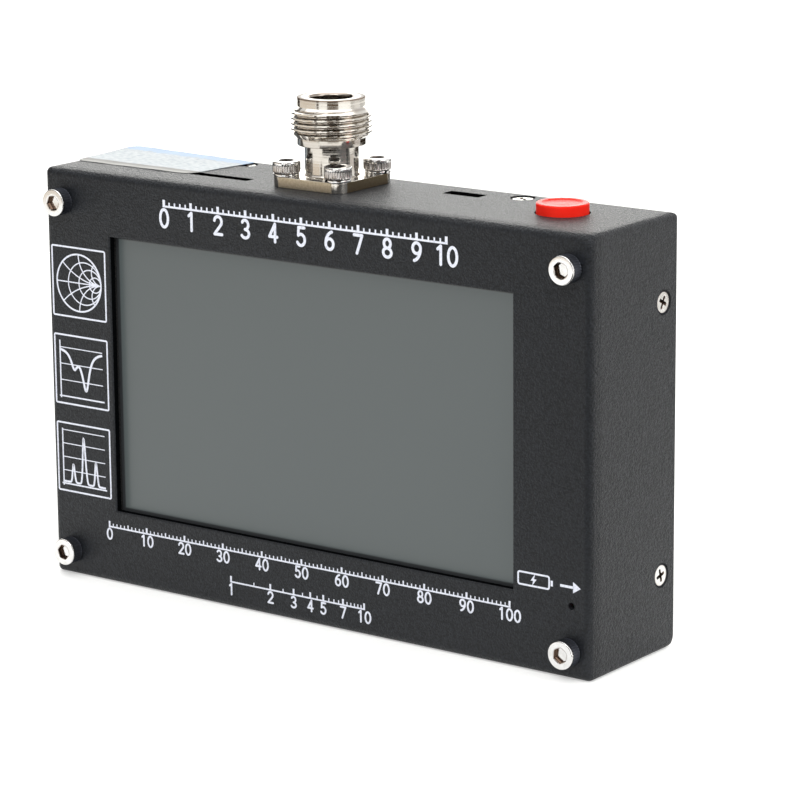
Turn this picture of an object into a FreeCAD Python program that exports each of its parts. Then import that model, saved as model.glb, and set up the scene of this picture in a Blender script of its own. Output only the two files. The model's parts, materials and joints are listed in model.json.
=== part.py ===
import FreeCAD, Part
import math
import os

# Handheld antenna analyzer in a folded sheet-steel housing, millimetres.
# Origin: centre of the housing's underside. +X right and +Z up as the user sees it, the screen faces -Y.

Vector = FreeCAD.Vector
X_AXIS = Vector(1, 0, 0)
Y_AXIS = Vector(0, 1, 0)
Z_AXIS = Vector(0, 0, 1)

# Housing
housing_width = 133.0
housing_depth = 29.0
housing_height = 85.0
shell_wall = 1.5
front_bend_radius = 1.4
side_edge_radius = 1.0
rear_bottom_radius = 2.5
rear_top_radius = 1.2
cover_wall = 1.5
cover_gap = 0.1
cover_edge_radius = 0.8
side_flange_depth = 7.7
side_flange_height = 65.0
tab_width = 12.0

# Window and the display stack behind it
window_width = 98.5
window_height = 57.0
window_x = -0.25
window_from_bottom = 15.3
window_edge_radius = 0.35
display_shift = 0.9
gasket_depth = 0.8
gasket_border = 2.8
gasket_setback = 0.3
touch_width = 105.4
touch_height = 67.1
touch_depth = 1.1
glass_border = 0.8
glass_depth = 1.2
tray_depth = 1.7
tray_wall = 0.3
guide_gap = 0.1
pad_depth = 2.4
pad_width = 16.0
pad_height = 6.0
pad_inset = 8.0

# Boards and what holds them
board_thickness = 1.6
board_gap = 0.5
board_spacing = 9.0
connector_notch_depth = 5.8
notch_gap = 1.5
panel_screw_inset = 4.75
panel_screw_from_bottom = 5.35
panel_screw_from_top = 6.5
standoff_flats = 5.5
screw_radius = 1.5
hole_gap = 0.1
thread_gap = 0.05
cap_head_radius = 2.75
cap_head_height = 3.0
cap_head_chamfer = 0.35
hex_socket_flats = 2.5
hex_socket_depth = 1.5
panel_screw_length = 5.0
stud_length = 4.5
board_screw_length = 5.0
pan_head_radius = 2.7
pan_head_height = 1.8
pan_head_rounding = 0.7
cross_length = 2.6
cross_width = 0.6
cross_depth = 0.9

# Countersunk screws that hold the rear cover
shell_screw_radius = 1.25
shell_screw_head_radius = 2.2
shell_screw_rim = 0.15
shell_screw_length = 4.0
countersink_gap = 0.25
side_screw_from_rear = 4.4
side_screw_low = 15.1
side_screw_high = 68.4
edge_screw_from_rear = 4.0
edge_screw_inset = 32.4

# Antenna socket, a four-hole flange jack with an outer thread
socket_from_left = 61.0
socket_from_front = 16.5
flange_side = 17.5
flange_thickness = 2.1
flange_corner_radius = 2.2
flange_hole_spacing = 12.7
neck_radius = 5.3
neck_height = 6.3
collar_radius = 6.7
collar_height = 1.1
thread_radius = 7.94
thread_height = 5.6
thread_chamfer = 0.5
nose_radius = 6.75
nose_height = 2.35
nose_taper = 0.45
socket_bore_radius = 4.25
socket_bore_depth = 10.4
bore_chamfer = 0.35
insulator_radius = 3.5
insulator_below_flange = 3.0
contact_radius = 1.52
contact_bore_radius = 0.85
contact_bore_depth = 4.2
contact_tip_depth = 5.2
contact_slot = 0.3
contact_waist_radius = 1.0
solder_cup_radius = 1.3
solder_cup_length = 3.5
socket_screw_head_height = 2.5
socket_screw_length = 7.6
washer_thickness = 0.5
washer_radius = 2.6
washer_split = 0.6
nut_flats = 5.5
nut_thickness = 2.4
link_wire_radius = 0.45
link_wire_drop = 2.4
link_wire_bend = 1.2

# Power button and its switch
button_from_right = 17.4
button_radius = 5.05
button_height = 6.0
button_proud = 2.0
button_rim = 0.5
button_dish = 0.3
button_hole_gap = 0.275
button_travel = 1.5
button_socket_depth = 4.0
plunger_side = 3.0
plunger_chamfer = 0.3
plunger_length = 12.0
plunger_gap = 0.15
plunger_fit = 0.05
switch_side = 5.8
switch_height = 9.0
switch_below_button = 4.5
switch_floor = 2.0
spring_wire = 0.3
spring_radius = 1.1
spring_turns = 3
pin_radius = 0.25
pin_length = 2.0
switch_pin_pitch = 2.0

# Ports in the top wall
usb_from_right = 44.0
usb_slot_width = 8.3
usb_slot_depth = 2.4
usb_width = 7.4
usb_shell_depth = 2.3
usb_length = 5.6
usb_wall = 0.25
usb_corner_radius = 0.7
usb_tongue_width = 3.8
usb_tongue_depth = 0.6
usb_tongue_length = 3.6
port_gap = 0.3
card_from_left = 37.3
card_slot_width = 13.7
card_slot_depth = 1.7
card_socket_width = 14.2
card_socket_depth = 1.9
card_socket_length = 15.0
card_room = 0.9
card_socket_wall = 0.3

# Label on the top wall
label_from_left = 1.1
label_width = 30.5
label_from_front = 11.1
label_depth = 16.3
label_thickness = 0.2

# Parts on the boards
led_from_right = 4.15
led_from_bottom = 14.3
led_hole_radius = 0.7
led_radius = 1.5
led_flange_radius = 1.8
led_flange_height = 0.9
led_stand = 1.0
led_gap = 0.6
led_leg_pitch = 1.27
ribbon_thickness = 0.3
ribbon_turn_height = 4.5
ribbon_gap = 0.1
ribbon_insert = 2.5
display_ribbon_width = 20.5
display_ribbon_x = -12.0
touch_ribbon_width = 5.0
touch_ribbon_x = 18.0
ribbon_socket_margin = 2.2
ribbon_socket_depth = 2.0
ribbon_socket_height = 4.2
ribbon_socket_from_bottom = 12.0
processor_side = 20.0
processor_x = 16.0
processor_z = 34.0
chip_height = 1.4
chip_chamfer = 0.2
chip_lead_pitch = 1.6
chip_lead_width = 0.5
chip_lead_reach = 1.1
chip_lead_thickness = 0.25
memory_width = 10.5
memory_length = 18.0
memory_x = -10.0
memory_z = 34.0
flash_width = 6.0
flash_length = 8.0
flash_x = 40.0
flash_z = 30.0
crystal_length = 10.0
crystal_width = 4.0
crystal_height = 3.4
crystal_corner_radius = 1.2
crystal_x = 16.0
crystal_z = 54.0
link_from_left = 20.5
link_z = 40.0
link_rows = 2
link_columns = 8
link_pitch = 2.54
link_pin_side = 0.64
link_header_depth = 2.5
link_pin_reach = 5.0
shield_width = 30.0
shield_height = 26.0
shield_depth = 3.5
shield_wall = 0.3
shield_x = -6.0
shield_z = 56.0
radio_chip_side = 5.0
radio_chip_height = 0.9
radio_chip_pitch = 11.0
coil_radius = 2.6
coil_height = 3.0
coil_flange = 0.7
coil_groove = 0.4
coil_x = 34.0
coil_z = 44.0
coil_pitch = 10.0
passive_length = 2.0
passive_width = 1.25
passive_height = 0.8
passive_pitch = 3.4
charger_width = 3.9
charger_length = 4.9
charger_x = 8.0
charger_z = 70.0

# Battery
battery_x = -3.0
battery_width = 85.0
battery_height = 50.0
battery_depth = 5.4
battery_from_bottom = 8.0
battery_edge_radius = 1.6
tape_thickness = 0.2
tape_inset = 4.0
battery_socket_x = 34.0
battery_socket_from_top = 13.5
battery_socket_width = 7.6
battery_socket_height = 7.6
battery_socket_depth = 4.8
battery_socket_wall = 0.8
battery_plug_length = 7.0
battery_plug_insert = 1.5
battery_plug_gap = 0.1
lead_radius = 0.55
lead_pitch = 2.0
lead_shift = 13.0
lead_bend = 2.0
lead_first_rise = 0.5

# Places worked out from the sizes above
half_width = housing_width / 2
front_face = -housing_depth / 2
rear_face = housing_depth / 2
front_inner = front_face + shell_wall
rear_inner = rear_face - cover_wall
top_inner = housing_height - shell_wall
side_inner = half_width - shell_wall

touch_y = front_inner + gasket_depth
glass_y = touch_y + touch_depth
tray_y = glass_y + glass_depth
pad_y = tray_y + tray_depth
main_board_y = pad_y + pad_depth
main_board_back = main_board_y + board_thickness
radio_board_y = main_board_back + board_spacing
radio_board_back = radio_board_y + board_thickness

window_z = window_from_bottom + window_height / 2
display_x = window_x + display_shift
edge_screw_x = half_width - edge_screw_inset
link_x = -half_width + link_from_left

socket_x = -half_width + socket_from_left
socket_y = front_face + socket_from_front
flange_top = housing_height + flange_thickness
neck_top = flange_top + neck_height
collar_top = neck_top + collar_height
thread_top = collar_top + thread_height
socket_top = thread_top + nose_height
bore_floor = socket_top - socket_bore_depth
contact_tip = socket_top - contact_tip_depth
insulator_bottom = housing_height - insulator_below_flange
cup_bottom = insulator_bottom - solder_cup_length

button_x = half_width - button_from_right
button_y = radio_board_y - switch_side / 2
button_top = housing_height + button_proud
button_bottom = button_top - button_height
plunger_top = button_bottom + button_socket_depth
plunger_bottom = plunger_top - plunger_length
switch_top = button_bottom - switch_below_button
switch_bottom = switch_top - switch_height
spring_bottom = switch_bottom + switch_floor

usb_x = half_width - usb_from_right
usb_y = radio_board_back + usb_shell_depth / 2
card_x = -half_width + card_from_left
card_y = main_board_back + card_socket_depth / 2
led_x = half_width - led_from_right
board_half_width = side_inner - board_gap
board_bottom = shell_wall + board_gap
board_top = top_inner - board_gap
battery_y = rear_inner - tape_thickness - battery_depth
battery_top = battery_from_bottom + battery_height
battery_socket_z = top_inner - battery_socket_from_top


def block(x0, x1, y0, y1, z0, z1):
    return Part.makeBox(x1 - x0, y1 - y0, z1 - z0, Vector(x0, y0, z0))


def centred_block(x, z, width, height, y0, y1):
    return block(x - width / 2, x + width / 2, y0, y1, z - height / 2, z + height / 2)


def column(x, y, width, depth, z0, z1):
    return block(x - width / 2, x + width / 2, y - depth / 2, y + depth / 2, z0, z1)


def rod(radius, length, base, axis):
    return Part.makeCylinder(radius, length, base, axis)


def disc(radius, centre, axis):
    return Part.Face(Part.Wire(Part.makeCircle(radius, centre, axis)))


def prism(flats, length, base, axis):
    # Hexagonal bar: six corners on a circle, carried along the axis, two flats facing +X and -X or +Y and -Y.
    corner = flats / math.sqrt(3)
    side = Y_AXIS if axis.z else Z_AXIS
    other = axis.cross(side)
    points = []
    for step in range(7):
        angle = step * math.pi / 3
        points.append(base + side * (corner * math.cos(angle)) + other * (corner * math.sin(angle)))
    return Part.Face(Part.makePolygon(points)).extrude(axis * length)


def turned(profile, x, y):
    # Solid of revolution about a vertical line, from (radius, height) corners.
    points = [Vector(radius, 0, height) for radius, height in profile]
    points.append(points[0])
    solid = Part.Face(Part.makePolygon(points)).revolve(Vector(0, 0, 0), Z_AXIS, 360)
    solid.translate(Vector(x, y, 0))
    return solid


def edges_along(shape, axis, at):
    # Straight edges that run along an axis and whose middle passes the given test.
    found = []
    for edge in shape.Edges:
        first, last = edge.Vertexes[0].Point, edge.Vertexes[-1].Point
        run = last - first
        if run.Length > 0 and abs(run.dot(axis)) > 0.999 * run.Length and at((first + last) * 0.5):
            found.append(edge)
    return found


def join(pieces):
    whole = pieces[0]
    for piece in pieces[1:]:
        whole = whole.fuse(piece)
    return whole.removeSplitter()


def group(pieces):
    return Part.makeCompound(pieces)


def panel_screw_places():
    high = housing_height - panel_screw_from_top
    side = half_width - panel_screw_inset
    return [(x, z) for x in (-side, side) for z in (panel_screw_from_bottom, high)]


def flange_screw_places():
    half = flange_hole_spacing / 2
    return [(socket_x + dx, socket_y + dy) for dx in (-half, half) for dy in (-half, half)]


def shell_screw_places():
    # Head centre and the direction in which each of the eight cover screws leaves the housing.
    side_y = rear_face - side_screw_from_rear
    edge_y = rear_face - edge_screw_from_rear
    places = []
    for z in (side_screw_low, side_screw_high):
        places.append((Vector(half_width, side_y, z), X_AXIS))
        places.append((Vector(-half_width, side_y, z), X_AXIS * -1))
    for x in (-edge_screw_x, edge_screw_x):
        places.append((Vector(x, edge_y, housing_height), Z_AXIS))
        places.append((Vector(x, edge_y, 0), Z_AXIS * -1))
    return places


def countersunk_screw(face, out, gap):
    # Flat head flush with the face: short rim, 90 degree cone, then the shank. A gap makes the hole for it.
    head = shell_screw_head_radius + gap
    shank = shell_screw_radius + gap
    cone = head - shank
    rim = rod(head, shell_screw_rim, face - out * shell_screw_rim, out)
    taper = Part.makeCone(shank, head, cone, face - out * (shell_screw_rim + cone), out)
    stem = rod(shank, shell_screw_length, face - out * shell_screw_length, out)
    return join([stem, taper, rim])


def cross_recess(face, out):
    # Two crossed slots that sink into a screw head.
    side = Y_AXIS if out.z or out.x else Z_AXIS
    other = out.cross(side)
    centre = face - out * (cross_depth / 2)
    cutters = []
    for long, short in ((side, other), (other, side)):
        size = [abs(long.dot(a)) * cross_length + abs(short.dot(a)) * cross_width
                + abs(out.dot(a)) * cross_depth for a in (X_AXIS, Y_AXIS, Z_AXIS)]
        corner = centre - Vector(*size) * 0.5
        cutters.append(Part.makeBox(*size, corner))
    return join(cutters)


def cap_screw(seat, out, head_height, length):
    # Socket head screw: its head stands on the seat, its shank goes the other way.
    head = rod(cap_head_radius, head_height, seat, out)
    rim = [edge for edge in head.Edges
           if edge.Closed and (edge.BoundBox.Center - seat).dot(out) > head_height - 0.01]
    head = head.makeChamfer(cap_head_chamfer, rim)
    top = seat + out * head_height
    head = head.cut(prism(hex_socket_flats, hex_socket_depth, top - out * hex_socket_depth, out))
    return join([head, rod(screw_radius, length, seat - out * length, out)])


def at_window(middle):
    # True for the middle of a straight edge that bounds the window.
    return (abs(middle.x - window_x) < window_width / 2 + 0.01
            and abs(middle.z - window_z) < window_height / 2 + 0.01)


def make_front_shell():
    # One sheet folded back on all four sides, open at the rear, corners welded and ground.
    outer = block(-half_width, half_width, front_face, rear_face, 0, housing_height)
    front = edges_along(outer, X_AXIS, lambda m: m.y < front_face + 0.01)
    front += edges_along(outer, Z_AXIS, lambda m: m.y < front_face + 0.01)
    outer = outer.makeFillet(front_bend_radius, front)
    outer = outer.makeFillet(side_edge_radius, edges_along(outer, Y_AXIS, lambda m: True))
    # The rear corners of the side walls are rounded, as seen from the side.
    middle = housing_height / 2
    side_view = block(-housing_width, housing_width, front_face - 1, rear_face, 0, housing_height)
    low = edges_along(side_view, X_AXIS, lambda m: m.y > rear_face - 0.01 and m.z < middle)
    side_view = side_view.makeFillet(rear_bottom_radius, low)
    high = edges_along(side_view, X_AXIS, lambda m: m.y > rear_face - 0.01 and m.z > middle)
    outer = outer.common(side_view.makeFillet(rear_top_radius, high))
    inner = block(-side_inner, side_inner, front_inner, rear_face + shell_wall, shell_wall, top_inner)
    shell = outer.cut(inner)
    shell = shell.cut(centred_block(window_x, window_z, window_width, window_height,
                                    front_face - shell_wall, front_inner + shell_wall))
    # The window's front edges are eased, which leaves the sheet's outline alone.
    lip = edges_along(shell, X_AXIS, lambda m: m.y < front_face + 0.01 and at_window(m))
    lip += edges_along(shell, Z_AXIS, lambda m: m.y < front_face + 0.01 and at_window(m))
    shell = shell.makeFillet(window_edge_radius, lip)
    cutters = []
    through = shell_wall * 3
    for x, z in panel_screw_places():
        cutters.append(rod(screw_radius + hole_gap, through, Vector(x, front_face - shell_wall, z), Y_AXIS))
    pinhole = Vector(led_x, front_face - shell_wall, led_from_bottom)
    cutters.append(rod(led_hole_radius, through, pinhole, Y_AXIS))
    for face, out in shell_screw_places():
        cutters.append(countersunk_screw(face, out, countersink_gap))
    below = top_inner - shell_wall
    cutters.append(rod(insulator_radius + port_gap, through, Vector(socket_x, socket_y, below), Z_AXIS))
    for x, y in flange_screw_places():
        cutters.append(rod(screw_radius + hole_gap, through, Vector(x, y, below), Z_AXIS))
    cutters.append(rod(button_radius + button_hole_gap, through, Vector(button_x, button_y, below), Z_AXIS))
    above = housing_height + shell_wall
    for x, y, width, depth in ((usb_x, usb_y, usb_slot_width, usb_slot_depth),
                               (card_x, card_y, card_slot_width, card_slot_depth)):
        cutters.append(column(x, y, width, depth, below, above))
    return shell.cut(group(cutters))


def make_rear_cover():
    # Flat plate inside the open rear, with a flange along each side and tabs at the top and bottom.
    outer_x = side_inner - cover_gap
    bottom = shell_wall + cover_gap
    top = top_inner - cover_gap
    middle = (side_screw_low + side_screw_high) / 2
    flange_front = rear_face - side_flange_depth
    pieces = [block(-outer_x, outer_x, rear_inner, rear_face, bottom, top)]
    for x0 in (-outer_x, outer_x - cover_wall):
        pieces.append(block(x0, x0 + cover_wall, flange_front, rear_face,
                            middle - side_flange_height / 2, middle + side_flange_height / 2))
    for x in (-edge_screw_x, edge_screw_x):
        for z0 in (bottom, top - cover_wall):
            pieces.append(block(x - tab_width / 2, x + tab_width / 2, flange_front, rear_face,
                                z0, z0 + cover_wall))
    cover = join(pieces)
    rim = edges_along(cover, X_AXIS, lambda m: m.y > rear_face - 0.01)
    rim += edges_along(cover, Z_AXIS, lambda m: m.y > rear_face - 0.01)
    cover = cover.makeFillet(cover_edge_radius, rim)
    reach = shell_screw_length * 2
    holes = [rod(shell_screw_radius + thread_gap, reach, face - out * reach, out)
             for face, out in shell_screw_places()]
    return cover.cut(group(holes))


def make_shell_screws():
    return group([countersunk_screw(face, out, 0).cut(cross_recess(face, out))
                  for face, out in shell_screw_places()])


def make_panel_screws():
    return group([cap_screw(Vector(x, front_face, z), Y_AXIS * -1, cap_head_height, panel_screw_length)
                  for x, z in panel_screw_places()])


def make_front_standoffs():
    length = main_board_y - front_inner
    posts = []
    for x, z in panel_screw_places():
        base = Vector(x, front_inner, z)
        post = prism(standoff_flats, length, base, Y_AXIS)
        posts.append(post.cut(rod(screw_radius + thread_gap, length, base, Y_AXIS)))
    return group(posts)


def make_rear_standoffs():
    # Hexagonal posts with a stud that passes through the main board into the front standoffs.
    posts = []
    for x, z in panel_screw_places():
        base = Vector(x, main_board_back, z)
        post = prism(standoff_flats, board_spacing, base, Y_AXIS)
        tapped = base + Y_AXIS * (board_spacing - board_screw_length)
        post = post.cut(rod(screw_radius + thread_gap, board_screw_length, tapped, Y_AXIS))
        posts.append(join([post, rod(screw_radius, stud_length, base - Y_AXIS * stud_length, Y_AXIS)]))
    return group(posts)


def make_board_screws():
    screws = []
    for x, z in panel_screw_places():
        seat = Vector(x, radio_board_back, z)
        head = rod(pan_head_radius, pan_head_height, seat, Y_AXIS)
        top = seat + Y_AXIS * pan_head_height
        rim = [edge for edge in head.Edges if edge.Closed and edge.BoundBox.Center.y > top.y - 0.01]
        head = head.makeFillet(pan_head_rounding, rim)
        shank_length = board_screw_length - hole_gap
        shank = rod(screw_radius, shank_length, seat - Y_AXIS * shank_length, Y_AXIS)
        screws.append(join([head, shank]).cut(cross_recess(top, Y_AXIS)))
    return group(screws)


def make_display_gasket():
    width = window_width + gasket_border * 2
    height = window_height + gasket_border * 2
    outer = centred_block(window_x, window_z, width, height, front_inner, touch_y)
    inner = centred_block(window_x, window_z, window_width + gasket_setback * 2,
                          window_height + gasket_setback * 2, front_inner - shell_wall, touch_y + shell_wall)
    return outer.cut(inner)


def make_touch_panel():
    return centred_block(display_x, window_z, touch_width, touch_height, touch_y, glass_y)


def make_lcd_glass():
    return centred_block(display_x, window_z, touch_width - glass_border * 2, touch_height - glass_border * 2,
                         glass_y, tray_y)


def make_backlight_tray():
    # Thin pressed pan behind the glass, open to the front.
    tray = centred_block(display_x, window_z, touch_width, touch_height, tray_y, pad_y)
    width = touch_width - tray_wall * 2
    height = touch_height - tray_wall * 2
    return tray.cut(centred_block(display_x, window_z, width, height, tray_y - 1, pad_y - tray_wall))


def make_light_guide():
    # Clear plate in the pan that spreads the backlight behind the glass.
    around = (tray_wall + guide_gap) * 2
    width, height = touch_width - around, touch_height - around
    return centred_block(display_x, window_z, width, height, tray_y, pad_y - tray_wall)


def make_display_pads():
    # Four foam blocks that press the display forward from the main board.
    dx = touch_width / 2 - pad_inset - pad_width / 2
    dz = touch_height / 2 - pad_inset - pad_height / 2
    corners = [(display_x + sx * dx, window_z + sz * dz) for sx in (-1, 1) for sz in (-1, 1)]
    return group([centred_block(x, z, pad_width, pad_height, pad_y, main_board_y) for x, z in corners])


def folded_ribbon(x, width, front_y, front_z, back_y, back_z):
    # Flat cable: down at front_y, half a turn under the display, and up into its socket at back_y.
    radius = (back_y - front_y) / 2
    half = ribbon_thickness / 2
    turn_z = ribbon_turn_height + shell_wall
    left = x - width / 2
    down = block(left, left + width, front_y - half, front_y + half, turn_z, front_z)
    up = block(left, left + width, back_y - half, back_y + half, turn_z, back_z)
    centre = Vector(left, front_y + radius, turn_z)
    bend = rod(radius + half, width, centre, X_AXIS).cut(rod(radius - half, width, centre, X_AXIS))
    lower = block(left - 1, left + width + 1, front_y - radius, back_y + radius, turn_z - radius * 2, turn_z)
    return join([down, bend.common(lower), up])


def ribbon_socket(x, ribbon_width):
    width = ribbon_width + ribbon_socket_margin * 2
    back = main_board_y
    body = block(x - width / 2, x + width / 2, back - ribbon_socket_depth, back,
                 ribbon_socket_from_bottom, ribbon_socket_from_bottom + ribbon_socket_height)
    half = ribbon_thickness / 2 + ribbon_gap
    y = back - ribbon_socket_depth / 2
    mouth = block(x - ribbon_width / 2 - ribbon_gap, x + ribbon_width / 2 + ribbon_gap, y - half, y + half,
                  ribbon_socket_from_bottom - 1, ribbon_socket_from_bottom + ribbon_insert + ribbon_gap)
    return body.cut(mouth)


def make_display_ribbon():
    glass_bottom = window_z - touch_height / 2 + glass_border
    return folded_ribbon(display_ribbon_x, display_ribbon_width, glass_y + glass_depth / 2, glass_bottom,
                         main_board_y - ribbon_socket_depth / 2, ribbon_socket_from_bottom + ribbon_insert)


def make_touch_ribbon():
    touch_bottom = window_z - touch_height / 2
    return folded_ribbon(touch_ribbon_x, touch_ribbon_width, touch_y + touch_depth / 2, touch_bottom,
                         main_board_y - ribbon_socket_depth / 2, ribbon_socket_from_bottom + ribbon_insert)


def make_display_socket():
    return ribbon_socket(display_ribbon_x, display_ribbon_width)


def make_touch_socket():
    return ribbon_socket(touch_ribbon_x, touch_ribbon_width)


def socket_notch(y0, y1):
    # Room in a board for the nuts and the pin under the antenna socket.
    half = flange_side / 2 + notch_gap
    floor_z = top_inner - connector_notch_depth
    return block(socket_x - half, socket_x + half, y0 - 1, y1 + 1, floor_z, top_inner)


def board(y0, y1):
    plate = block(-board_half_width, board_half_width, y0, y1, board_bottom, board_top)
    holes = [rod(screw_radius + hole_gap, board_thickness * 3, Vector(x, y0 - board_thickness, z), Y_AXIS)
             for x, z in panel_screw_places()]
    return plate.cut(group(holes + [socket_notch(y0, y1)]))


def make_main_board():
    return board(main_board_y, main_board_back)


def make_radio_board():
    # The power button hangs in a second notch in the top edge.
    half = button_radius + notch_gap / 2
    notch = block(button_x - half, button_x + half, radio_board_y - 1, radio_board_back + 1,
                  button_bottom - button_travel - notch_gap / 2, top_inner)
    return board(radio_board_y, radio_board_back).cut(notch)


def chip(x, z, width, length, height, board_y, out):
    # Moulded package lying on a board face, with a chamfered edge all round its top.
    y0, y1 = sorted((board_y, board_y + out * height))
    body = centred_block(x, z, width, length, y0, y1)
    outer = board_y + out * height
    rim = [edge for edge in body.Edges if abs(edge.BoundBox.Center.y - outer) < 0.01]
    return body.makeChamfer(chip_chamfer, rim)


def chip_leads(x, z, width, length, height, board_y, out, sides):
    # Bent leads, each a foot on the board and a shoulder into the package, in rows along the sides.
    leads = []
    for side in sides:
        along_x = side in ("up", "down")
        run = (width if along_x else length) - chip_lead_pitch * 1.5
        count = int(run / chip_lead_pitch) + 1
        sign = 1 if side in ("up", "right") else -1
        edge = (length if along_x else width) / 2
        for step in range(count):
            offset = (step - (count - 1) / 2) * chip_lead_pitch
            pair = []
            for reach, rise in ((chip_lead_thickness, height / 2), (chip_lead_reach, chip_lead_thickness)):
                y0, y1 = sorted((board_y, board_y + out * rise))
                middle = sign * (edge + reach / 2)
                if along_x:
                    pair.append(centred_block(x + offset, z + middle, chip_lead_width, reach, y0, y1))
                else:
                    pair.append(centred_block(x + middle, z + offset, reach, chip_lead_width, y0, y1))
            leads.append(join(pair))
    return leads


def make_processor():
    return chip(processor_x, processor_z, processor_side, processor_side, chip_height, main_board_back, 1)


def make_memory_chips():
    return group([chip(memory_x, memory_z, memory_width, memory_length, chip_height, main_board_back, 1),
                  chip(flash_x, flash_z, flash_width, flash_length, chip_height, main_board_back, 1)])


def make_charger_chip():
    return chip(charger_x, charger_z, charger_width, charger_length, chip_height, radio_board_back, 1)


def make_chip_leads():
    pair = ("left", "right")
    all_four = ("up", "down", "left", "right")
    leads = []
    for x, z, width, length, board_y, sides in (
            (processor_x, processor_z, processor_side, processor_side, main_board_back, all_four),
            (memory_x, memory_z, memory_width, memory_length, main_board_back, pair),
            (flash_x, flash_z, flash_width, flash_length, main_board_back, pair),
            (charger_x, charger_z, charger_width, charger_length, radio_board_back, pair)):
        leads += chip_leads(x, z, width, length, chip_height, board_y, 1, sides)
    return group(leads)


def make_crystal():
    can = centred_block(crystal_x, crystal_z, crystal_length, crystal_width,
                        main_board_back, main_board_back + crystal_height)
    return can.makeFillet(crystal_corner_radius, edges_along(can, Y_AXIS, lambda m: True))


def passive_row(x, z, count, board_y, out):
    y0, y1 = sorted((board_y, board_y + out * passive_height))
    return [centred_block(x + step * passive_pitch, z, passive_width, passive_length, y0, y1)
            for step in range(count)]


def make_board_passives():
    # Rows of chip capacitors and resistors on both boards.
    low = processor_z - processor_side / 2 - chip_lead_reach - passive_pitch
    right = shield_x + shield_width / 2 + passive_pitch
    under = shield_z - shield_height / 2 - passive_pitch
    rows = passive_row(processor_x - processor_side / 2, low, 7, main_board_back, 1)
    rows += passive_row(memory_x - memory_width / 2, low, 4, main_board_back, 1)
    rows += passive_row(right, shield_z + shield_height / 4, 4, radio_board_y, -1)
    rows += passive_row(shield_x - shield_width / 2, under, 8, radio_board_y, -1)
    return group(rows)


def make_card_socket():
    # Metal cage open towards the top wall, fixed behind the slot for the memory card.
    top = top_inner - port_gap
    bottom = top - card_socket_length
    cage = column(card_x, card_y, card_socket_width, card_socket_depth, bottom, top)
    width = card_slot_width - card_socket_wall * 2
    return cage.cut(column(card_x, card_y, width, card_room, bottom + card_socket_wall, top + 1))


def make_usb_socket():
    # Folded metal shell with a rounded rectangular mouth, on the rear face of the radio board.
    top = top_inner - port_gap
    outer = column(usb_x, usb_y, usb_width, usb_shell_depth, top - usb_length, top)
    outer = outer.makeFillet(usb_corner_radius, edges_along(outer, Z_AXIS, lambda m: m.y > usb_y))
    floor_z = top - usb_length + usb_wall * 2
    room = column(usb_x, usb_y, usb_width - usb_wall * 2, usb_shell_depth - usb_wall * 2, floor_z, top + 1)
    inside = usb_corner_radius - usb_wall
    return outer.cut(room.makeFillet(inside, edges_along(room, Z_AXIS, lambda m: m.y > usb_y)))


def make_usb_tongue():
    # Plastic floor of the socket with the thin tongue that carries its contacts.
    floor_z = top_inner - port_gap - usb_length + usb_wall * 2
    around = (usb_wall + hole_gap) * 2
    base = column(usb_x, usb_y, usb_width - around, usb_shell_depth - around, floor_z, floor_z + usb_wall * 2)
    inside = usb_corner_radius - usb_wall - hole_gap
    base = base.makeFillet(inside, edges_along(base, Z_AXIS, lambda m: m.y > usb_y))
    tongue = column(usb_x, usb_y, usb_tongue_width, usb_tongue_depth, floor_z, floor_z + usb_tongue_length)
    return join([base, tongue])


def make_charge_led():
    # Domed lamp on two legs, close behind its pinhole in the front panel.
    base = Vector(led_x, main_board_y - led_stand, led_from_bottom)
    tip = front_inner + led_gap
    straight = (base.y - tip) - led_radius
    out = Y_AXIS * -1
    lamp = [rod(led_flange_radius, led_flange_height, base, out), rod(led_radius, straight, base, out)]
    lamp.append(Part.makeSphere(led_radius, base + out * straight))
    return join(lamp)


def make_led_legs():
    length = led_stand + board_thickness
    y = main_board_y - led_stand
    bases = [Vector(led_x + sign * led_leg_pitch, y, led_from_bottom) for sign in (-1, 1)]
    return group([rod(pin_radius, length, base, Y_AXIS) for base in bases])


def link_pin_places():
    places = []
    for row in range(link_rows):
        for column in range(link_columns):
            places.append((link_x + (row - (link_rows - 1) / 2) * link_pitch,
                           link_z + (column - (link_columns - 1) / 2) * link_pitch))
    return places


def link_body(y0, y1, hole_side):
    body = centred_block(link_x, link_z, link_rows * link_pitch, link_columns * link_pitch, y0, y1)
    holes = [centred_block(x, z, hole_side, hole_side, y0 - 1, y1 + 1) for x, z in link_pin_places()]
    return body.cut(group(holes))


def make_link_socket():
    return link_body(main_board_back, radio_board_y - link_header_depth, link_pin_side + hole_gap * 2)


def make_link_header():
    return link_body(radio_board_y - link_header_depth, radio_board_y, link_pin_side)


def make_link_pins():
    start = radio_board_y - link_header_depth - link_pin_reach
    return group([centred_block(x, z, link_pin_side, link_pin_side, start, radio_board_y)
                  for x, z in link_pin_places()])


def make_shield_can():
    # Thin metal lid over the radio chips, open towards its board.
    y0 = radio_board_y - shield_depth
    can = centred_block(shield_x, shield_z, shield_width, shield_height, y0, radio_board_y)
    can = can.makeFillet(shield_wall * 2, edges_along(can, Y_AXIS, lambda m: True))
    room = centred_block(shield_x, shield_z, shield_width - shield_wall * 2, shield_height - shield_wall * 2,
                         y0 + shield_wall, radio_board_y + 1)
    return can.cut(room)


def make_radio_chips():
    half = radio_chip_pitch / 2
    places = [(shield_x + dx * half, shield_z + dz * half) for dx in (-1, 1) for dz in (-1, 1)]
    side = radio_chip_side
    return group([chip(x, z, side, side, radio_chip_height, radio_board_y, -1) for x, z in places])


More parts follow.
